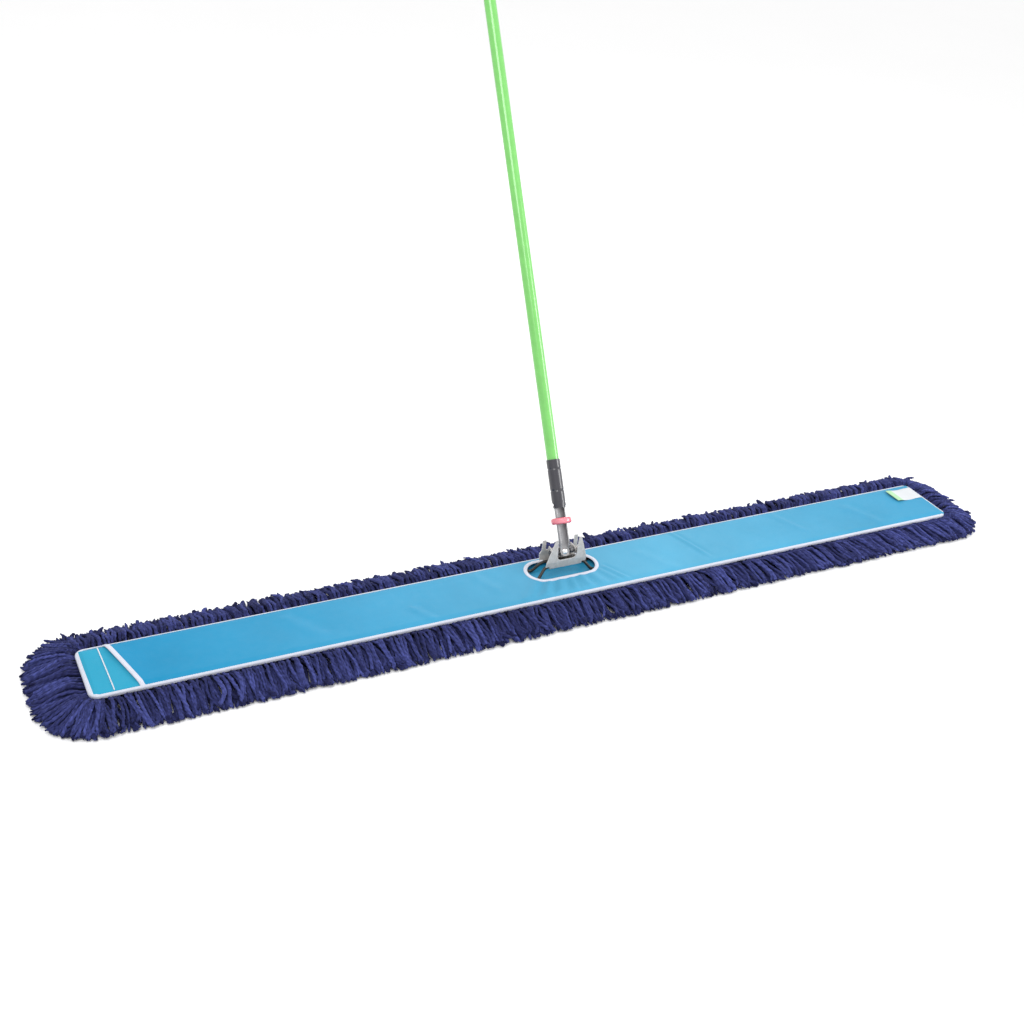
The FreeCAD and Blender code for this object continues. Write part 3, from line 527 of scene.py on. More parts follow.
# %% Give the packed parts their finishes
finishes = {
    "frame_wire_front": wire_steel, "frame_wire_back": wire_steel, "frame_ferrules": wire_steel,
    "front_jaw": clip_steel, "rear_jaw": clip_steel, "torsion_springs": spring_steel,
    "trunnion_clips": spring_steel, "swivel_block": block_steel, "rivet_washer": rivet_steel,
    "pivot_rivet": rivet_steel, "leg": leg_steel, "lock_ring": ring_plastic,
    "handle_socket": socket_coat, "socket_rivet": rivet_steel, "handle_tube": tube_glass,
    "hang_cap": cap_vinyl,
}
for node, finish in finishes.items():
    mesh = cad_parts[node].data
    mesh.materials.clear()
    mesh.materials.append(finish)
    mesh.polygons.foreach_set("use_smooth", [True] * len(mesh.polygons))
    mesh.set_sharp_from_angle(angle=math.radians(35))
print("dressed", len(finishes), "packed parts")


# %% [markdown]
# ## The lie of the cloth
# The envelope is held up by the wires inside it and sewn down along its edges. One function
# gives the height of its upper surface anywhere, and one gives the outline. Every sheet, tape
# and stitch uses them, so they stay together.

# %% Outline and height of the envelope
def ease(share):
    """A smooth step from 0 to 1."""
    share = np.clip(share, 0, 1)
    return share * share * (3 - 2 * share)


def hole_distance(x, y):
    """How far a point is outside the oval opening; negative inside it."""
    dx = np.maximum(np.abs(x - hole_centre.x) - hole_reach, 0)
    return np.hypot(dx, y - hole_centre.y) - hole_round


def ridge(x, y, start, end, wide, tall):
    """A soft fold from one point to another, fading at both ends."""
    (x0, y0), (x1, y1) = start, end
    length = math.hypot(x1 - x0, y1 - y0)
    ux, uy = (x1 - x0) / length, (y1 - y0) / length
    along = ((x - x0) * ux + (y - y0) * uy) / length
    off = (x - x0) * -uy + (y - y0) * ux
    fade = ease(along / 0.25 + 0.5) * ease((1 - along) / 0.35 + 0.3)
    crest = np.exp(-(off / wide) ** 2)
    trough = np.exp(-((off - wide * 1.7) / wide) ** 2)
    return tall * fade * (crest - 0.55 * trough)


print("opening:", round((hole_reach + hole_round) * 2000), "x", round(hole_round * 2000), "mm")


# %% [markdown]
# ### Where the folds run
# Short folds fan out from the opening towards the near edge, where the clip's wires pull the
# cloth. A few long, low ones cross the rest of the sheet. Each is a start, an end, a width and
# a height. They land where cloth on a wire frame really creases.

# %% Folds that start at the opening, and long ones farther along
folds = []
for k in range(7):
    lean = (k - 3) / 3
    start = (lean * 64 * MM, hole_centre.y - hole_round * (1.15 - 0.25 * abs(lean)))
    end = (start[0] + lean * 34 * MM - 8 * MM, -62 * MM)
    folds.append((start, end, (5.5 + 1.5 * (k % 3)) * MM, (1.5 + 0.7 * ((k * 5) % 3)) * MM))
folds += [
    ((-66 * MM, 0), (-128 * MM, -72 * MM), 8 * MM, 1.6 * MM),
    ((78 * MM, -6 * MM), (108 * MM, -64 * MM), 5 * MM, 2.4 * MM),
    ((274 * MM, 64 * MM), (306 * MM, -44 * MM), 5 * MM, 3.0 * MM),
    ((520 * MM, 60 * MM), (560 * MM, -30 * MM), 9 * MM, 1.6 * MM),
    ((-330 * MM, -10 * MM), (-300 * MM, -66 * MM), 9 * MM, 1.8 * MM),
    ((-560 * MM, 40 * MM), (-500 * MM, -50 * MM), 14 * MM, 1.5 * MM),
    ((170 * MM, 20 * MM), (215 * MM, -60 * MM), 12 * MM, 1.2 * MM),
    ((-180 * MM, 55 * MM), (-150 * MM, -20 * MM), 12 * MM, 1.2 * MM),
    ((700 * MM, 30 * MM), (745 * MM, -60 * MM), 12 * MM, 1.3 * MM),
]
edge_drop = 4.5 * MM
print(len(folds), "folds")

# %% [markdown]
# ### One height for everything
# The height of the cloth is the panel's own height, plus the folds, plus a slow waver. Towards
# its edges it comes down to where the tape squeezes the layers together.

# %% Height of the envelope
def lie(x, y):
    """Height of the envelope's upper surface."""
    z = np.full(np.shape(x), sheet_top, float)
    away = np.minimum(1.0, np.maximum(hole_distance(x, y), 0) / (12 * MM))
    for start, end, wide, tall in folds:
        z += ridge(x, y, start, end, wide, tall) * away
    slow = np.sin(x * 11 + 1.3) * np.cos(y * 31 + x * 5) + 0.6 * np.sin(x * 27 + y * 40)
    z += 0.5 * MM * slow * away
    edge = np.minimum(half_width - np.abs(y), half_length - np.abs(x))
    held = ease(edge / (13 * MM))
    return sheet_top - edge_drop + (z - (sheet_top - edge_drop)) * held


def mouth_x(y):
    """Where the skewed free end of the upper sheet is."""
    return mouth_back + mouth_skew * (half_width - y) / (2 * half_width)


heights = lie(np.linspace(-half_length, half_length, 200), np.zeros(200))
print("cloth height:", round(heights.min() * 1000, 1), "to", round(heights.max() * 1000, 1), "mm")


# %% [markdown]
# ## Building sheets
# A cloth is a fine grid whose points are moved: first to the outline, then to the height of
# the lie. A Solidify modifier gives it its real thickness. Where there is an opening, the
# faces inside are left out, and the points on the rim are pulled onto the oval.

# %% Grid helper
def grid_cloth(name, columns, rows, place, keep=None, snap=None, thick=0.8 * MM):
    """A sheet from a grid of shares 0 to 1. place(u, v) gives x, y, z arrays."""
    u, v = np.meshgrid(np.linspace(0, 1, columns), np.linspace(0, 1, rows), indexing="ij")
    x, y, z = (np.array(values, float) for values in place(u.ravel(), v.ravel()))
    first = (np.arange(columns - 1)[:, None] * rows + np.arange(rows - 1)).ravel()
    faces = np.stack([first, first + rows, first + rows + 1, first + 1], axis=1)
    if keep is not None:
        faces = faces[keep(x[faces].mean(1), y[faces].mean(1))]
        used, faces = np.unique(faces, return_inverse=True)
        faces = faces.reshape(-1, 4)
        x, y, z = x[used], y[used], z[used]
    if snap is not None:
        x, y, z = snap(x, y, z, faces)
    mesh = bpy.data.meshes.new(name)
    mesh.from_pydata(np.stack([x, y, z], axis=1).tolist(), [], faces.tolist())
    mesh.polygons.foreach_set("use_smooth", [True] * len(mesh.polygons))
    piece = bpy.data.objects.new(name, mesh)
    bpy.context.scene.collection.objects.link(piece)
    solid = piece.modifiers.new("thickness", "SOLIDIFY")
    solid.thickness = thick
    solid.offset = -1
    return piece


def rim_points(faces, count):
    """Which points lie on the edge of the kept faces."""
    pairs = np.sort(np.concatenate([faces[:, [k, (k + 1) % 4]] for k in range(4)]), axis=1)
    edges, times = np.unique(pairs, axis=0, return_counts=True)
    on_rim = np.zeros(count, bool)
    on_rim[edges[times == 1].ravel()] = True
    return on_rim


def corner_trim(x, y, end):
    """Pull points into the rounded corners at one end: end is -1, 1 or 0 for both."""
    middle_x, middle_y = half_length - corner, half_width - corner
    ax, ay = np.abs(x), np.abs(y)
    beyond = (ax > middle_x) & (ay > middle_y) & ((end == 0) | (np.sign(x) == end))
    dx, dy = ax - middle_x, ay - middle_y
    square = np.maximum(np.maximum(dx, dy), 1e-9)
    scale = np.where(beyond, square / np.maximum(np.hypot(dx, dy), 1e-9), 1.0)
    return (np.sign(x) * np.where(beyond, middle_x + dx * scale, ax),
            np.sign(y) * np.where(beyond, middle_y + dy * scale, ay))


print("sheet corners:", round(corner * 1000), "mm radius")


# %% [markdown]
# ### The long upper sheet
# It runs from the skewed pocket mouth to the sewn end, with the oval opening for the clip.
# Near its free end it lifts a little off the flap under it, which leaves a dark gap.

# %% Upper sheet
def upper_place(u, v):
    y = (v * 2 - 1) * half_width
    x = mouth_x(y) + u * (half_length - mouth_x(y))
    x, y = corner_trim(x, y, 1)
    free = np.exp(-((x - mouth_x(y)) / (22 * MM)) ** 2) * ease((half_width - np.abs(y)) / (25 * MM))
    return x, y, lie(x, y) + free * (2.2 * MM + 1.8 * MM * y / half_width)


def onto_opening(x, y, z, faces):
    """Pull the rim of the hole onto the oval."""
    gap = hole_distance(x, y)
    near = rim_points(faces, len(x)) & (gap < 6 * MM)
    cx = hole_centre.x + np.clip(x - hole_centre.x, -hole_reach, hole_reach)
    dx, dy = x - cx, y - hole_centre.y
    size = np.maximum(np.hypot(dx, dy), 1e-9)
    x = np.where(near, cx + dx / size * hole_round, x)
    y = np.where(near, hole_centre.y + dy / size * hole_round, y)
    return x, y, z


upper_sheet = grid_cloth("upper_sheet", 720, 56, upper_place,
                         keep=lambda x, y: hole_distance(x, y) > 0, snap=onto_opening)
upper_sheet.data.materials.append(backing)
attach(upper_sheet, "head")
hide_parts("top_panel")
print("upper sheet:", len(upper_sheet.data.polygons), "faces")

# %% [markdown]
# ### The short end flap and the canvas
# The flap closes the left end under the pocket mouth. It is the paler cloth, and one row of
# white thread crosses it. The canvas is the floor of the pocket and carries the yarn.

# %% End flap and canvas
def flap_place(u, v):
    x = -half_length + u * (flap_right + half_length)
    y = (v * 2 - 1) * half_width
    x, y = corner_trim(x, y, -1)
    return x, y, lie(x, y) - (1.0 * MM + 0.5 * MM * ease((x + half_length) / (50 * MM)))


def canvas_place(u, v):
    x, y = corner_trim((u * 2 - 1) * half_length, (v * 2 - 1) * half_width, 0)
    edge = np.minimum(half_width - np.abs(y), half_length - np.abs(x))
    rise = 2.5 * MM * (1 - ease(edge / (10 * MM)))
    return x, y, canvas_high.z + rise + 0.3 * MM * np.sin(x * 60) * np.cos(y * 80)


end_flap = grid_cloth("end_flap_cloth", 48, 56, flap_place)
end_flap.data.materials.append(flap_cloth)
canvas = grid_cloth("canvas_cloth", 360, 36, canvas_place, thick=1.6 * MM)
canvas.data.materials.append(canvas_cloth)
for piece, node, slot in ((end_flap, "end_flap", "backing"), (canvas, "base_canvas", "canvas")):
    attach(piece, "head")
    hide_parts(node)
print("flap and canvas ready")


# %% [markdown]
# ## Tapes
# A binding tape is a strip folded round an edge. A section is swept along a path of points: at
# each point the section stands square to the path. The section is a list of (outward, height)
# steps, and the path gives the place, the outward direction and the height.

# %% Sweep helper
def swept_tape(name, path, outward, section, closed, widen=None):
    """Sweep a closed section of (outward, up) points along a path. widen stretches the lap."""
    count, size = len(path), len(section)
    steps = np.array(section)
    lap = np.ones((count, 1)) if widen is None else widen[:, None]
    reach = np.where(steps[None, :, 0] < -1.2 * MM, steps[None, :, 0] * lap, steps[None, :, 0])
    points = path[:, None, :] + outward[:, None, :] * reach[..., None]
    points[:, :, 2] += steps[None, :, 1]
    spans = count if closed else count - 1
    faces = []
    for i in range(spans):
        j = (i + 1) % count
        for k in range(size):
            m = (k + 1) % size
            faces.append((i * size + k, j * size + k, j * size + m, i * size + m))
    if not closed:
        faces.append(tuple(range(size))[::-1])
        faces.append(tuple((count - 1) * size + k for k in range(size)))
    mesh = bpy.data.meshes.new(name)
    mesh.from_pydata(points.reshape(-1, 3).tolist(), [], faces)
    mesh.polygons.foreach_set("use_smooth", [True] * len(mesh.polygons))
    mesh.set_sharp_from_angle(angle=math.radians(60))
    piece = bpy.data.objects.new(name, mesh)
    bpy.context.scene.collection.objects.link(piece)
    mesh.materials.append(tape)
    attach(piece, "head")
    return piece


print("sweep helper ready")

# %% [markdown]
# ### Paths for the tapes
# Two of the three tapes run round a rectangle with round corners: the head's outline and the
# oval opening, which is a rectangle whose corners meet. One function makes both.

# %% Path helpers
def rounded_loop(reach_x, reach_y, radius, step, centre=(0, 0)):
    """Points round a rectangle with round corners, and their outward directions."""
    spots, ways = [], []
    for sx, sy, start in ((1, 1, 0), (-1, 1, 90), (-1, -1, 180), (1, -1, 270)):
        mx, my = sx * (reach_x - radius), sy * (reach_y - radius)
        for angle in np.radians(np.linspace(start, start + 90, 13)):
            way = (math.cos(angle), math.sin(angle))
            spots.append((centre[0] + mx + way[0] * radius, centre[1] + my + way[1] * radius))
            ways.append(way)
    spots, ways = np.array(spots), np.array(ways)
    after, after_way = np.roll(spots, -1, axis=0), np.roll(ways, -1, axis=0)
    out, out_way = [], []
    for a, b, wa, wb in zip(spots, after, ways, after_way):
        parts = max(1, int(np.hypot(*(b - a)) / step))
        for share in np.arange(parts) / parts:
            out.append(a + (b - a) * share)
            way = wa + (wb - wa) * share
            out_way.append(way / np.hypot(*way))
    return np.array(out), np.array(out_way)


def with_height(spots, ways, height):
    """Add heights to flat points and directions."""
    path = np.column_stack([spots, height])
    return path, np.column_stack([ways, np.zeros(len(ways))])


print("tapes:", round(tape_wide * 1000), "mm wide")


# %% [markdown]
# ### Edge binding
# It folds over the sheet and under the canvas all the way round. Its top lap is narrow along
# the sides and wide at the ends, and its edge is rounded where the layers are squeezed.

# %% Edge binding
def fold_section(top, bottom):
    """The section of a tape folded round an edge, from its top lap round to its bottom lap."""
    lap, skin, bulge = tape_wide, 0.7 * MM, 0.6 * MM
    middle = (top + bottom) / 2
    outer = [(-lap, top + 0.1 * MM), (-lap + 0.3 * MM, top + skin + 0.25 * MM),
             (-lap / 2, top + skin + 0.5 * MM), (-1.2 * MM, top + skin + 0.2 * MM),
             (0.4 * MM, top - 0.2 * MM), (bulge, middle + 1.4 * MM), (bulge, middle - 1.4 * MM),
             (0.4 * MM, bottom + 0.2 * MM), (-1.2 * MM, bottom - skin), (-lap, bottom - skin)]
    inner = [(-lap, bottom - 0.1 * MM), (-1.4 * MM, bottom), (-0.3 * MM, middle),
             (-1.4 * MM, top - 0.4 * MM)]
    return outer + inner


spots, ways = rounded_loop(half_length, half_width, corner, 6 * MM)
edge_top = sheet_top - edge_drop
path, outward = with_height(spots, ways, np.full(len(spots), edge_top))
edge_depth = edge_top - (canvas_high.z + 0.4 * MM)
edge_binding = swept_tape("edge_binding_tape", path, outward,
                          fold_section(0.0, -edge_depth), True,
                          0.62 + 0.75 * np.abs(outward[:, 0]))
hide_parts("edge_binding")
print("edge binding:", len(path), "stations")

# %% [markdown]
# ### Opening and mouth bindings
# The oval opening has its own tape, and so has the skewed free end of the upper sheet.

# %% Opening and mouth bindings
def lap_section(lap, skin=0.9 * MM, under=1.3 * MM):
    """A tape lapped over a cut edge: outward is towards the cloth."""
    return [(-0.9 * MM, -0.4 * MM), (-0.7 * MM, skin * 0.8), (0.6 * MM, skin + 0.35 * MM),
            (lap / 2, skin + 0.3 * MM), (lap - 0.3 * MM, skin), (lap, 0.05 * MM),
            (lap, -under), (0.3 * MM, -under)]


spots, ways = rounded_loop(hole_reach + hole_round, hole_round, hole_round, 4 * MM,
                           (hole_centre.x, hole_centre.y))
beyond = spots + ways * 2 * MM
height = lie(beyond[:, 0], beyond[:, 1])
path, outward = with_height(spots, ways, height)
opening_tape = swept_tape("opening_binding_tape", path, outward, lap_section(6.6 * MM), True)
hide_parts("opening_binding")

across = np.linspace(-half_width + 1.5 * MM, half_width - 1.5 * MM, 60)
spots = np.column_stack([mouth_x(across), across])
skew = np.hypot(mouth_skew, 2 * half_width)
ways = np.tile([2 * half_width / skew, mouth_skew / skew], (len(spots), 1))
share = (across / half_width + 1) / 2
_, _, height = upper_place(np.zeros(len(across)), share)
path, outward = with_height(spots, ways, height)
mouth_tape = swept_tape("mouth_binding_tape", path, outward, lap_section(7.5 * MM), False)
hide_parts("mouth_binding")
print("opening and mouth bindings ready")

# %% [markdown]
# ## Strands
# Yarn and thread are the same thing at two sizes: a bent rod. This helper sweeps many rods at
# once. Each ring of points is carried along its path without twisting, then turned by the
# yarn's own twist, so that the two lobes wind round the strand.

# %% Strand helper
def carry_frames(paths):
    """Unit vectors across each path, carried along it without twist."""
    tangent = np.gradient(paths, axis=1)
    tangent /= np.linalg.norm(tangent, axis=2, keepdims=True)
    side = np.cross(tangent[:, 0], [0.31, 0.17, 0.93])
    sides = np.empty_like(paths)
    for k in range(paths.shape[1]):
        side = side - (side * tangent[:, k]).sum(1, keepdims=True) * tangent[:, k]
        side /= np.maximum(np.linalg.norm(side, axis=1, keepdims=True), 1e-9)
        sides[:, k] = side
    return sides, np.cross(tangent, sides)


bent_rod = np.array([[(0, 0, 0), (1, 0, 0), (1, 1, 0)]], float)
print("sides of a bent rod:", carry_frames(bent_rod)[0][0].round(2).tolist())

# %% [markdown]
# ### One mesh for many rods
# Thousands of separate curves would be slow. The rings of all the rods are worked out at once
# as arrays, joined into faces by counting, and handed to Blender in one go.

# %% Strand mesh
def strand_mesh(name, paths, radius, around, twist, lobe, tone):
    """Rods along paths (n, s, 3) with radius (n, s), as one mesh with its own coordinates."""
    count, steps = paths.shape[:2]
    side, other = carry_frames(paths)
    angle = np.arange(around) / around * 2 * math.pi
    run = np.concatenate([np.zeros((count, 1)), np.cumsum(
        np.linalg.norm(np.diff(paths, axis=1), axis=2), axis=1)], axis=1)
    turned = angle[None, None, :] + run[:, :, None] * twist
    size = radius[:, :, None] * (1 + lobe * np.cos(2 * angle)[None, None, :])
    points = (paths[:, :, None, :] + side[:, :, None, :] * (size * np.cos(turned))[..., None]
              + other[:, :, None, :] * (size * np.sin(turned))[..., None])
    ring = np.arange(around)
    start = (np.arange(count)[:, None] * steps + np.arange(steps - 1)).ravel()[:, None] * around
    nxt = (ring + 1) % around
    quads = np.stack([start + ring, start + nxt, start + around + nxt, start + around + ring],
                     axis=2).reshape(-1, 4)
    first = np.arange(count)[:, None] * steps * around + ring
    caps = np.concatenate([first[:, ::-1], first + (steps - 1) * around])
    loops = np.concatenate([quads.ravel(), caps.ravel()])
    begin = np.concatenate([np.arange(len(quads)) * 4,
                            len(quads) * 4 + np.arange(len(caps)) * around])
    mesh = bpy.data.meshes.new(name)
    mesh.vertices.add(points.size // 3)
    mesh.vertices.foreach_set("co", points.astype(np.float32).ravel())
    mesh.loops.add(len(loops))
    mesh.loops.foreach_set("vertex_index", loops.astype(np.int32))
    mesh.polygons.add(len(begin))
    mesh.polygons.foreach_set("loop_start", begin.astype(np.int32))
    mesh.update(calc_edges=True)
    mesh.polygons.foreach_set("use_smooth", [True] * len(mesh.polygons))
    add_strand_coordinates(mesh, run, around, steps, tone, len(caps))
    return mesh


print("strand mesh ready")

# %% [markdown]
# ### The strand's own coordinates
# The yarn's material draws its plies by where a point is on its strand. So each corner of each
# face stores how far round and how far along it is, and each point stores its strand's tone.

# %% Strand coordinates
def add_strand_coordinates(mesh, run, around, steps, tone, caps):
    """UV "strand" (round, along) for each corner, and the attribute "tone" for each point."""
    count = len(run)
    ply_length = 7 * MM
    low = np.broadcast_to((run[:, :-1] / ply_length)[..., None], (count, steps - 1, around))
    high = np.broadcast_to((run[:, 1:] / ply_length)[..., None], (count, steps - 1, around))
    left = np.broadcast_to(np.arange(around) / around, low.shape)
    right = left + 1 / around
    corners = np.stack([np.stack([left, low], -1), np.stack([right, low], -1),
                        np.stack([right, high], -1), np.stack([left, high], -1)], axis=3)
    coordinates = np.concatenate([corners.reshape(-1, 2), np.zeros((caps * around, 2))])
    layer = mesh.uv_layers.new(name="strand")
    layer.data.foreach_set("uv", coordinates.astype(np.float32).ravel())
    attribute = mesh.attributes.new("tone", "FLOAT", "POINT")
    values = np.repeat(tone.reshape(-1), around)
    attribute.data.foreach_set("value", values.astype(np.float32))


print("strand coordinates ready")


# %% [markdown]
# ## Where the yarn leaves the head
# Strands are sewn under the canvas edge all round. A station is a root, an outward direction
# and how far the yarn reaches. Stations are evenly spaced along the outer edge of the skirt,
# so the corners fan out instead of thinning.

# %% Stations round the head
side_reach = -cad_low.y - half_width
end_reach = cad_high.x - half_length
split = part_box("skirt_front")[1].x


def stations(zone, spacing, rng):
    """Roots (n, 2), outward directions (n, 2) and reaches (n,) for one zone of the skirt."""
    if zone in ("front", "back"):
        number = int(2 * split / spacing)
        x = (np.arange(number) + rng.random(number)) / number * 2 * split - split
        sign = -1 if zone == "front" else 1
        return (np.column_stack([x, np.full(number, sign * half_width)]),
                np.tile([0.0, sign], (number, 1)), np.full(number, side_reach))
    sign = -1 if zone == "left" else 1
    run = half_length - corner - split
    arc = math.pi / 2 * (corner + (side_reach + end_reach) / 2)
    flat = 2 * (half_width - corner)
    number = int((2 * run + 2 * arc + flat) / spacing)
    along = (np.arange(number) + rng.random(number)) / number * (2 * run + 2 * arc + flat)
    roots, ways, reaches = [], [], []
    for s in along:
        mirrored = s > run + arc + flat / 2
        s = 2 * run + 2 * arc + flat - s if mirrored else s
        turn = np.clip((s - run) / arc, 0, 1) * math.pi / 2
        x = split + min(s, run)
        y = -(half_width - corner) + max(0.0, s - run - arc)
        way = np.array([math.sin(turn), -math.cos(turn)])
        root = np.array([x, y]) + way * corner
        if mirrored:
            root[1], way[1] = -root[1], -way[1]
        reach = side_reach + (end_reach - side_reach) * turn / (math.pi / 2)
        roots.append((root[0] * sign, root[1]))
        ways.append((way[0] * sign, way[1]))
        reaches.append(reach)
    return np.array(roots), np.array(ways), np.array(reaches)


print("yarn reach:", round(side_reach * 1000), "mm at the sides,", round(end_reach * 1000), "at the ends")


# %% [markdown]
# ## Growing the skirt
# Three layers lie over each other. The top one arches out from under the tape and falls to the
# floor, and the lowest one lies nearly flat. Every strand wanders from side to side in a slow
# wave, and its tip hooks. About one in six is an uncut loop that goes out and comes back.

# %% Layers of yarn
layers = [
    # start height, crown height, tip height, crown at this share of the reach, spacing
    (21.0 * MM, 28.0 * MM, 4.5 * MM, 0.26, 6.6 * MM),
    (15.5 * MM, 19.0 * MM, 4.2 * MM, 0.28, 5.2 * MM),
    (8.0 * MM, 9.0 * MM, 4.0 * MM, 0.30, 5.2 * MM),
]
yarn_radius = 3.2 * MM
yarn_twist, yarn_lobe = 200.0, 0.10  # radians per metre, share of the radius
sole_twist, sole_lobe = 260.0, 0.16
yarn_sides = 7
tucked = 6 * MM  # how far inside the edge a strand starts
loop_share = 0.16
loop_gap = 15 * MM
hook_size = 16 * MM
longest, end_loss = 1.08, 0.16  # share of the reach at the left end, and what the right end loses
shortest, cut_spread = 0.82, 0.20  # strands are cut by hand, so their lengths differ
crown_spread = 5.0 * MM
# Painted shade: the lower layers lie in the shade of the ones over them.
painted_layer_shade = 0.36  # how much darker each layer is than the one over it
stray_lift, usual_lift = 11 * MM, 3 * MM
print(len(layers), "layers of yarn,", round(yarn_radius * 2000, 1), "mm thick")

# %% [markdown]
# ### The path of one strand
# A strand's path is a sum of simple motions: outwards, up over the crown and down, a slow wave
# to the side, a hook at the tip and a lean. Every strand draws its own six random numbers.

# %% Strand paths
def slant_at(x, zone):
    """How much strands lean along the head: more to the right, as the mop was last pushed."""
    if zone in ("left", "right"):
        return np.zeros_like(x)
    lean = 0.05 + 0.55 * ease((x + 0.1) / 0.9)
    return lean * (1 if zone == "front" else 0.8)


def strand_paths(zone, layer, rng, steps, share, looped):
    """Paths (n, s, 3) and tones for one layer of one zone."""
    low, crown, tip, crown_at, spacing = layer
    roots, ways, reach = stations(zone, spacing / share, rng)
    number = len(roots)
    sideways = np.column_stack([-ways[:, 1], ways[:, 0]])
    t = np.linspace(0, 1, steps)[None, :]
    out = np.sin(t * math.pi) ** 0.8 if looped else t
    pick = rng.random((6, number, 1))
    towards_right = ease((roots[:, :1] + half_length) / (2 * half_length))
    full = reach[:, None] * (longest - end_loss * towards_right)
    length = full * (shortest + cut_spread * pick[0] ** 0.6)
    depth = (out * (length + tucked)) - tucked
    lift = (pick[1] - 0.5) * crown_spread
    before = np.clip(depth / (crown_at * reach[:, None]), 0, 1)
    after = np.clip((depth - crown_at * reach[:, None]) / ((1 - crown_at) * reach[:, None]), 0, 1)
    height = low + (crown - low + lift) * ease(before) + (tip - crown - lift) * after ** 1.25
    swing = (2.0 + 4.5 * pick[2]) * MM
    wave = np.sin(2 * math.pi * (out * (0.55 + 0.75 * pick[3]) + pick[4]))
    wave = (wave - np.sin(2 * math.pi * pick[4])) * swing * (0.35 + 0.65 * out)
    hook = (pick[5] - 0.5) * hook_size * np.clip((out - 0.72) / 0.28, 0, 1) ** 2
    lean = slant_at(roots[:, :1], zone) * np.maximum(depth, 0)
    lean *= np.where(sideways[:, :1] < 0, -1, 1) if zone in ("front", "back") else 1
    shift = wave + hook + lean
    if looped:
        shift = shift + (t - 0.5) * loop_gap * (pick[0] - 0.2)
        height = height + 1.2 * MM
    flat = roots[:, None, :] + ways[:, None, :] * depth[..., None]
    flat = flat + sideways[:, None, :] * shift[..., None]
    stray = np.where(pick[2] > 0.86, stray_lift, usual_lift) * np.clip((out - 0.55) / 0.45, 0, 1)
    limit = np.maximum(height + stray * pick[1], 4.0 * MM)
    # Painted shade: the roots, under the edge of the head, are half as bright as the tips; the rest is
    # each strand's random tone.
    tone = (0.25 + 0.75 * rng.random((number, 1))) * (0.5 + 0.5 * np.clip(out * 2.2, 0, 1))
    return np.concatenate([flat, limit[..., None]], axis=2), tone * np.ones_like(limit)


def taper(paths, size, rng):
    """Radius along each strand: uneven, and thinner at the very end."""
    number, steps = paths.shape[:2]
    t = np.linspace(0, 1, steps)[None, :]
    own = size * (0.86 + 0.28 * rng.random((number, 1)))
    uneven = 1 + 0.07 * np.sin(t * 40 + 6 * rng.random((number, 1)))
    return own * uneven * (1 - 0.5 * np.clip((t - 0.93) / 0.07, 0, 1))


print("lean at the right end:", round(float(slant_at(np.array([half_length]), "front")[0]), 2))

# %% [markdown]
# ### Growing each side
# Each side is two pieces, the top layer and the two under it, so that no piece grows too heavy.
# Both stand for that side's packed skirt.

# %% Grow the four sides
def grow(name, node, zone, chosen, seed):
    """One piece of the skirt: cut strands and uncut loops in the chosen layers."""
    rng = np.random.default_rng(seed)
    meshes = []
    for number in chosen:
        for looped, share, steps in ((False, 1 - loop_share, 15), (True, loop_share, 24)):
            paths, tone = strand_paths(zone, layers[number], rng, steps, share, looped)
            radius = taper(paths, yarn_radius, rng)
            # Painted shade: each lower layer is darker, as the layers over it shade it.
            tone = tone * (1.0 - painted_layer_shade * number)
            meshes.append(strand_mesh(name, paths, radius, yarn_sides, yarn_twist, yarn_lobe, tone))
    return join_strands(name, node, meshes)


def join_strands(name, node, meshes):
    """Join strand meshes into one piece that rides on the head."""
    parts = []
    for mesh in meshes:
        part = bpy.data.objects.new(name, mesh)
        bpy.context.scene.collection.objects.link(part)
        parts.append(part)
    with bpy.context.temp_override(active_object=parts[0], selected_editable_objects=parts):
        bpy.ops.object.join()
    piece = parts[0]
    piece.name = name
    piece.data.materials.append(yarn)
    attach(piece, "head")
    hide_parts(node)
    print(name, len(piece.data.polygons), "faces")
    return piece


for turn, zone in enumerate(("front", "back", "left", "right")):
    for part, chosen, seed in (("top", [0], 3), ("under", [1, 2], 5)):
        name = f"yarn_{zone}_{part}"
        grow(name, f"skirt_{zone}", zone, chosen, 10 * turn + seed)

# %% [markdown]
# ## The yarn under the head
# The sole of the mop is rows of the same yarn, laid from the middle seam out to both edges.
# It is what the mop stands on, so the lowest strands touch the floor.

# %% Sole yarn
sole_layers = ((4.6 * MM, 7.2 * MM), (11.5 * MM, 8.5 * MM))  # height and spacing of each
sole_half = half_length - 8 * MM
# Painted shade: the yarn under the head is darker than the skirt.
painted_sole_shade = 0.8


def sole_paths(side, height, spacing, rng, steps=13):
    """Paths (n, s, 3) and tones for one layer on one side of the middle seam."""
    number = int(2 * sole_half / spacing)
    x = (np.arange(number) + 0.3 + 0.4 * rng.random(number)) / number * 2 - 1
    x = x[:, None] * sole_half
    t = np.linspace(0, 1, steps)[None, :]
    pick = rng.random((3, number, 1))
    y = side * (1.5 * MM + t * (half_width - 5 * MM)) * np.ones_like(x)
    wander = (2 + 3 * pick[0]) * MM * np.sin(2 * math.pi * (t * (0.7 + pick[1]) + pick[2]))
    z = height + 1.2 * MM * np.sin(t * 9 + 6 * pick[2])
    paths = np.stack([x + wander, y, np.maximum(z, 4.3 * MM)], axis=2)
    tone = (0.3 + 0.6 * rng.random((number, 1))) * np.ones_like(z)
    return paths, tone


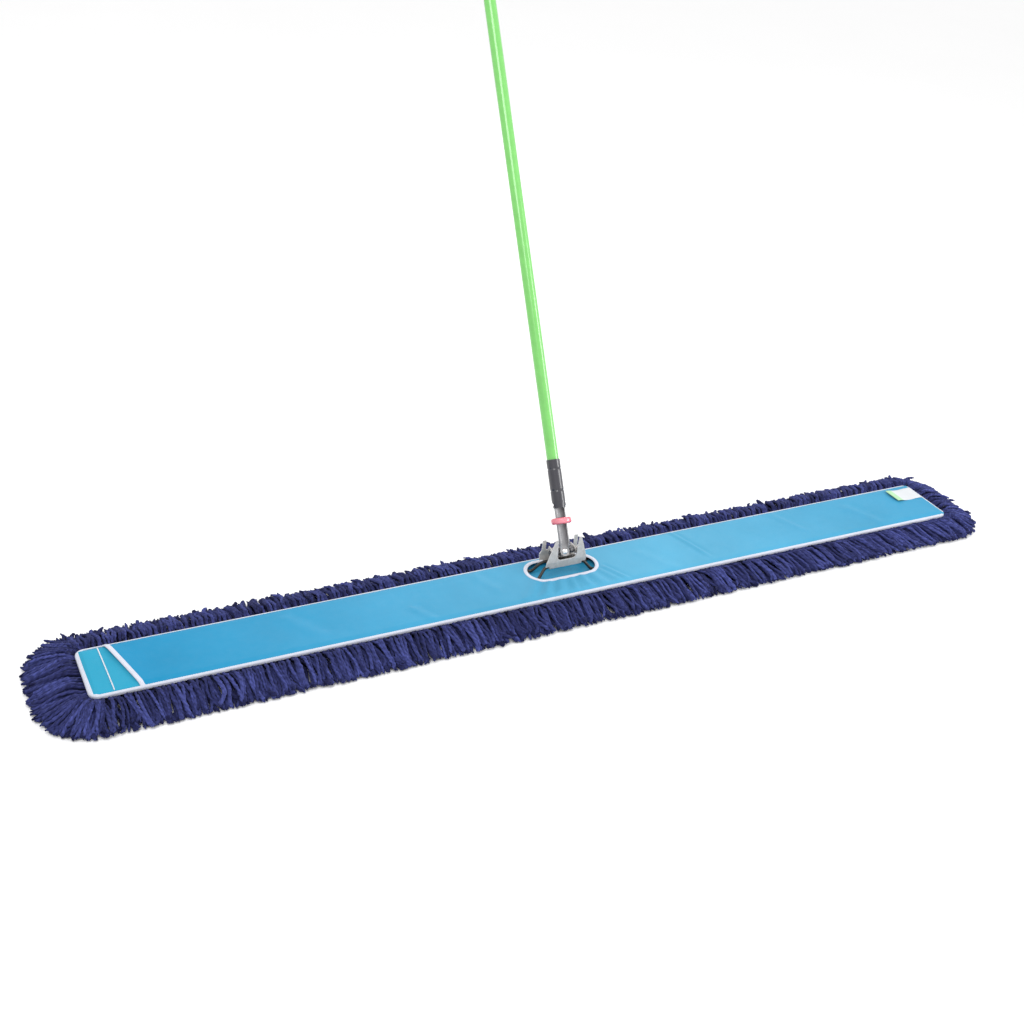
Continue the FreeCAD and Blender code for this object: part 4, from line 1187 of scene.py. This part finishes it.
rng = np.random.default_rng(77)
sole_meshes = []
for side in (-1, 1):
    for height, spacing in sole_layers:
        paths, tone = sole_paths(side, height, spacing, rng)
        radius = taper(paths, yarn_radius + 0.4 * MM, rng)
        sole_meshes.append(
            strand_mesh("sole", paths, radius, yarn_sides, sole_twist, sole_lobe,
                        tone * painted_sole_shade))
sole = join_strands("yarn_sole", "yarn_pad", sole_meshes)
print("the sole has", len(sole_meshes), "sets of rows")

# %% [markdown]
# ## Stitches
# Rows of lock stitch hold the tapes. Each stitch is a short fat thread that dips into the
# cloth at both ends. They use the same strand helper at a tenth of the size.

# %% Stitches
def stitch_row(spots, heights, pitch):
    """Short threads along a line of points, evenly spaced."""
    steps = np.concatenate([[0], np.cumsum(np.hypot(*np.diff(spots, axis=0).T))])
    number = int(steps[-1] / pitch)
    ends = np.linspace(0, steps[-1], number + 1)
    paths = []
    for share, dip in ((0.08, -0.35), (0.3, 0.15), (0.5, 0.22), (0.7, 0.15), (0.92, -0.35)):
        at = ends[:-1] + (ends[1:] - ends[:-1]) * share
        x = np.interp(at, steps, spots[:, 0])
        y = np.interp(at, steps, spots[:, 1])
        z = np.interp(at, steps, heights)
        paths.append(np.stack([x, y, z + dip * MM], axis=1))
    return np.stack(paths, axis=1)


def sew(name, rows, size):
    """All rows as one piece of thread."""
    paths = np.concatenate(rows)
    radius = np.full(paths.shape[:2], size)
    mesh = strand_mesh(name, paths, radius, 6, 0.0, 0.0, np.ones(paths.shape[:2]))
    piece = bpy.data.objects.new(name, mesh)
    bpy.context.scene.collection.objects.link(piece)
    mesh.materials.append(thread)
    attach(piece, "head")
    print(name, len(paths), "stitches")
    return piece


inset = 3.2 * MM
fine_thread, stout_thread = 0.32 * MM, 0.5 * MM  # radii
above_edge, above_cloth = 1.25 * MM, 1.15 * MM
spots, _ = rounded_loop(half_length - inset, half_width - inset, corner - inset, 6 * MM)
spots = np.concatenate([spots, spots[:1]])
binding_rows = [stitch_row(spots, np.full(len(spots), edge_top + above_edge), 4.2 * MM)]
spots, _ = rounded_loop(hole_reach + hole_round + inset, hole_round + inset, hole_round + inset,
                        4 * MM, (hole_centre.x, hole_centre.y))
spots = np.concatenate([spots, spots[:1]])
binding_rows.append(stitch_row(spots, lie(spots[:, 0], spots[:, 1]) + above_cloth, 4.0 * MM))
rows_y = np.linspace(-half_width + 7 * MM, half_width - 7 * MM, 50)
spots = np.column_stack([mouth_x(rows_y) + inset, rows_y])
_, _, height = upper_place(np.full(len(rows_y), 0.0025), (rows_y / half_width + 1) / 2)
binding_rows.append(stitch_row(spots, height + above_cloth, 4.0 * MM))
binding_stitches = sew("binding_stitches", binding_rows, fine_thread)

seam_x = -half_length + 37 * MM
seam_y = np.linspace(-half_width + 7 * MM, half_width - 7 * MM, 60)
seam = np.column_stack([seam_x + 3 * MM * (1 - seam_y / half_width) / 2, seam_y])
seam_height = lie(seam[:, 0], seam[:, 1]) - 0.8 * MM
flap_seam = sew("flap_seam", [stitch_row(seam, seam_height, 4.6 * MM),
                              stitch_row(seam + [1.1 * MM, 0], seam_height, 4.6 * MM)],
                stout_thread)

# %% [markdown]
# ## The care label
# A small woven label is sewn under the binding at the right end and lies loosely on the sheet.
# It curls up at its free end.

# %% Care label
label_low, label_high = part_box("care_label")


def label_place(u, v):
    x = label_low.x + u * (label_high.x - label_low.x)
    y = label_low.y + v * (label_high.y - label_low.y)
    curl = ease((0.35 - u) / 0.35) * 3.2 * MM + 0.7 * MM * np.sin(u * 9) * ease((0.9 - u) / 0.4)
    return x, y, lie(x, y) + 0.9 * MM + curl


care_label = grid_cloth("care_label_cloth", 30, 18, label_place, thick=0.35 * MM)
care_label.data.materials.append(label_cloth)
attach(care_label, "head")
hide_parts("care_label")
print("care label:", len(care_label.data.polygons), "faces")

# %% [markdown]
# ## The cloth pieces
# The tapes, the stitches and the yarn are sewn to the sheets.

# %% The cloth pieces
print("cloth pieces ready")

# %% [markdown]
# ## The studio
# A plain pale floor, an even white world and three soft lights: a large one over the left, a
# tall panel on the right that draws the bright line down the tube, and a strip behind.

# %% Floor, world and lights
def make_floor():
    mesh = bpy.data.meshes.new("floor")
    reach = 14.0
    mesh.from_pydata([(-reach, -reach, 0), (reach, -reach, 0), (reach, reach, 0),
                      (-reach, reach, 0)], [], [(0, 1, 2, 3)])
    floor = bpy.data.objects.new("floor", mesh)
    bpy.context.scene.collection.objects.link(floor)
    material, net, shader = new_material("pale_floor", (0.96, 0.96, 0.96), 0.7)
    cloud = net.group(mottle, Size=1.5, Amount=0.01)
    net.put(shader.inputs["Base Color"],
            net.blend(1.0, (0.96, 0.96, 0.96), cloud.outputs["Value"], "MULTIPLY"))
    mesh.materials.append(material)


def soft_light(name, place, target, size, power, tint=(1, 1, 1)):
    light = bpy.data.lights.new(name, "AREA")
    light.shape = "RECTANGLE"
    light.size, light.size_y = size
    light.energy = power
    light.color = tint
    lamp = bpy.data.objects.new(name, light)
    bpy.context.scene.collection.objects.link(lamp)
    lamp.location = place
    lamp.rotation_euler = (Vector(target) - Vector(place)).to_track_quat("-Z", "Y").to_euler()


make_floor()
world = bpy.data.worlds.new("pale_room")
world.use_nodes = True
world.node_tree.nodes["Background"].inputs["Color"].default_value = (1, 1, 1, 1)
world.node_tree.nodes["Background"].inputs["Strength"].default_value = 1.0
bpy.context.scene.world = world
bpy.context.scene.view_settings.view_transform = "Standard"
soft_light("key", (-1.4, -1.2, 3.2), (0, 0, 0), (1.6, 1.6), 45)
soft_light("side_panel", (2.6, -1.6, 1.3), (0, 0.1, 0.6), (0.9, 2.2), 55)
soft_light("back_strip", (1.4, 2.8, 1.6), (0.2, 0, 0), (2.4, 0.8), 18)
print("studio ready")
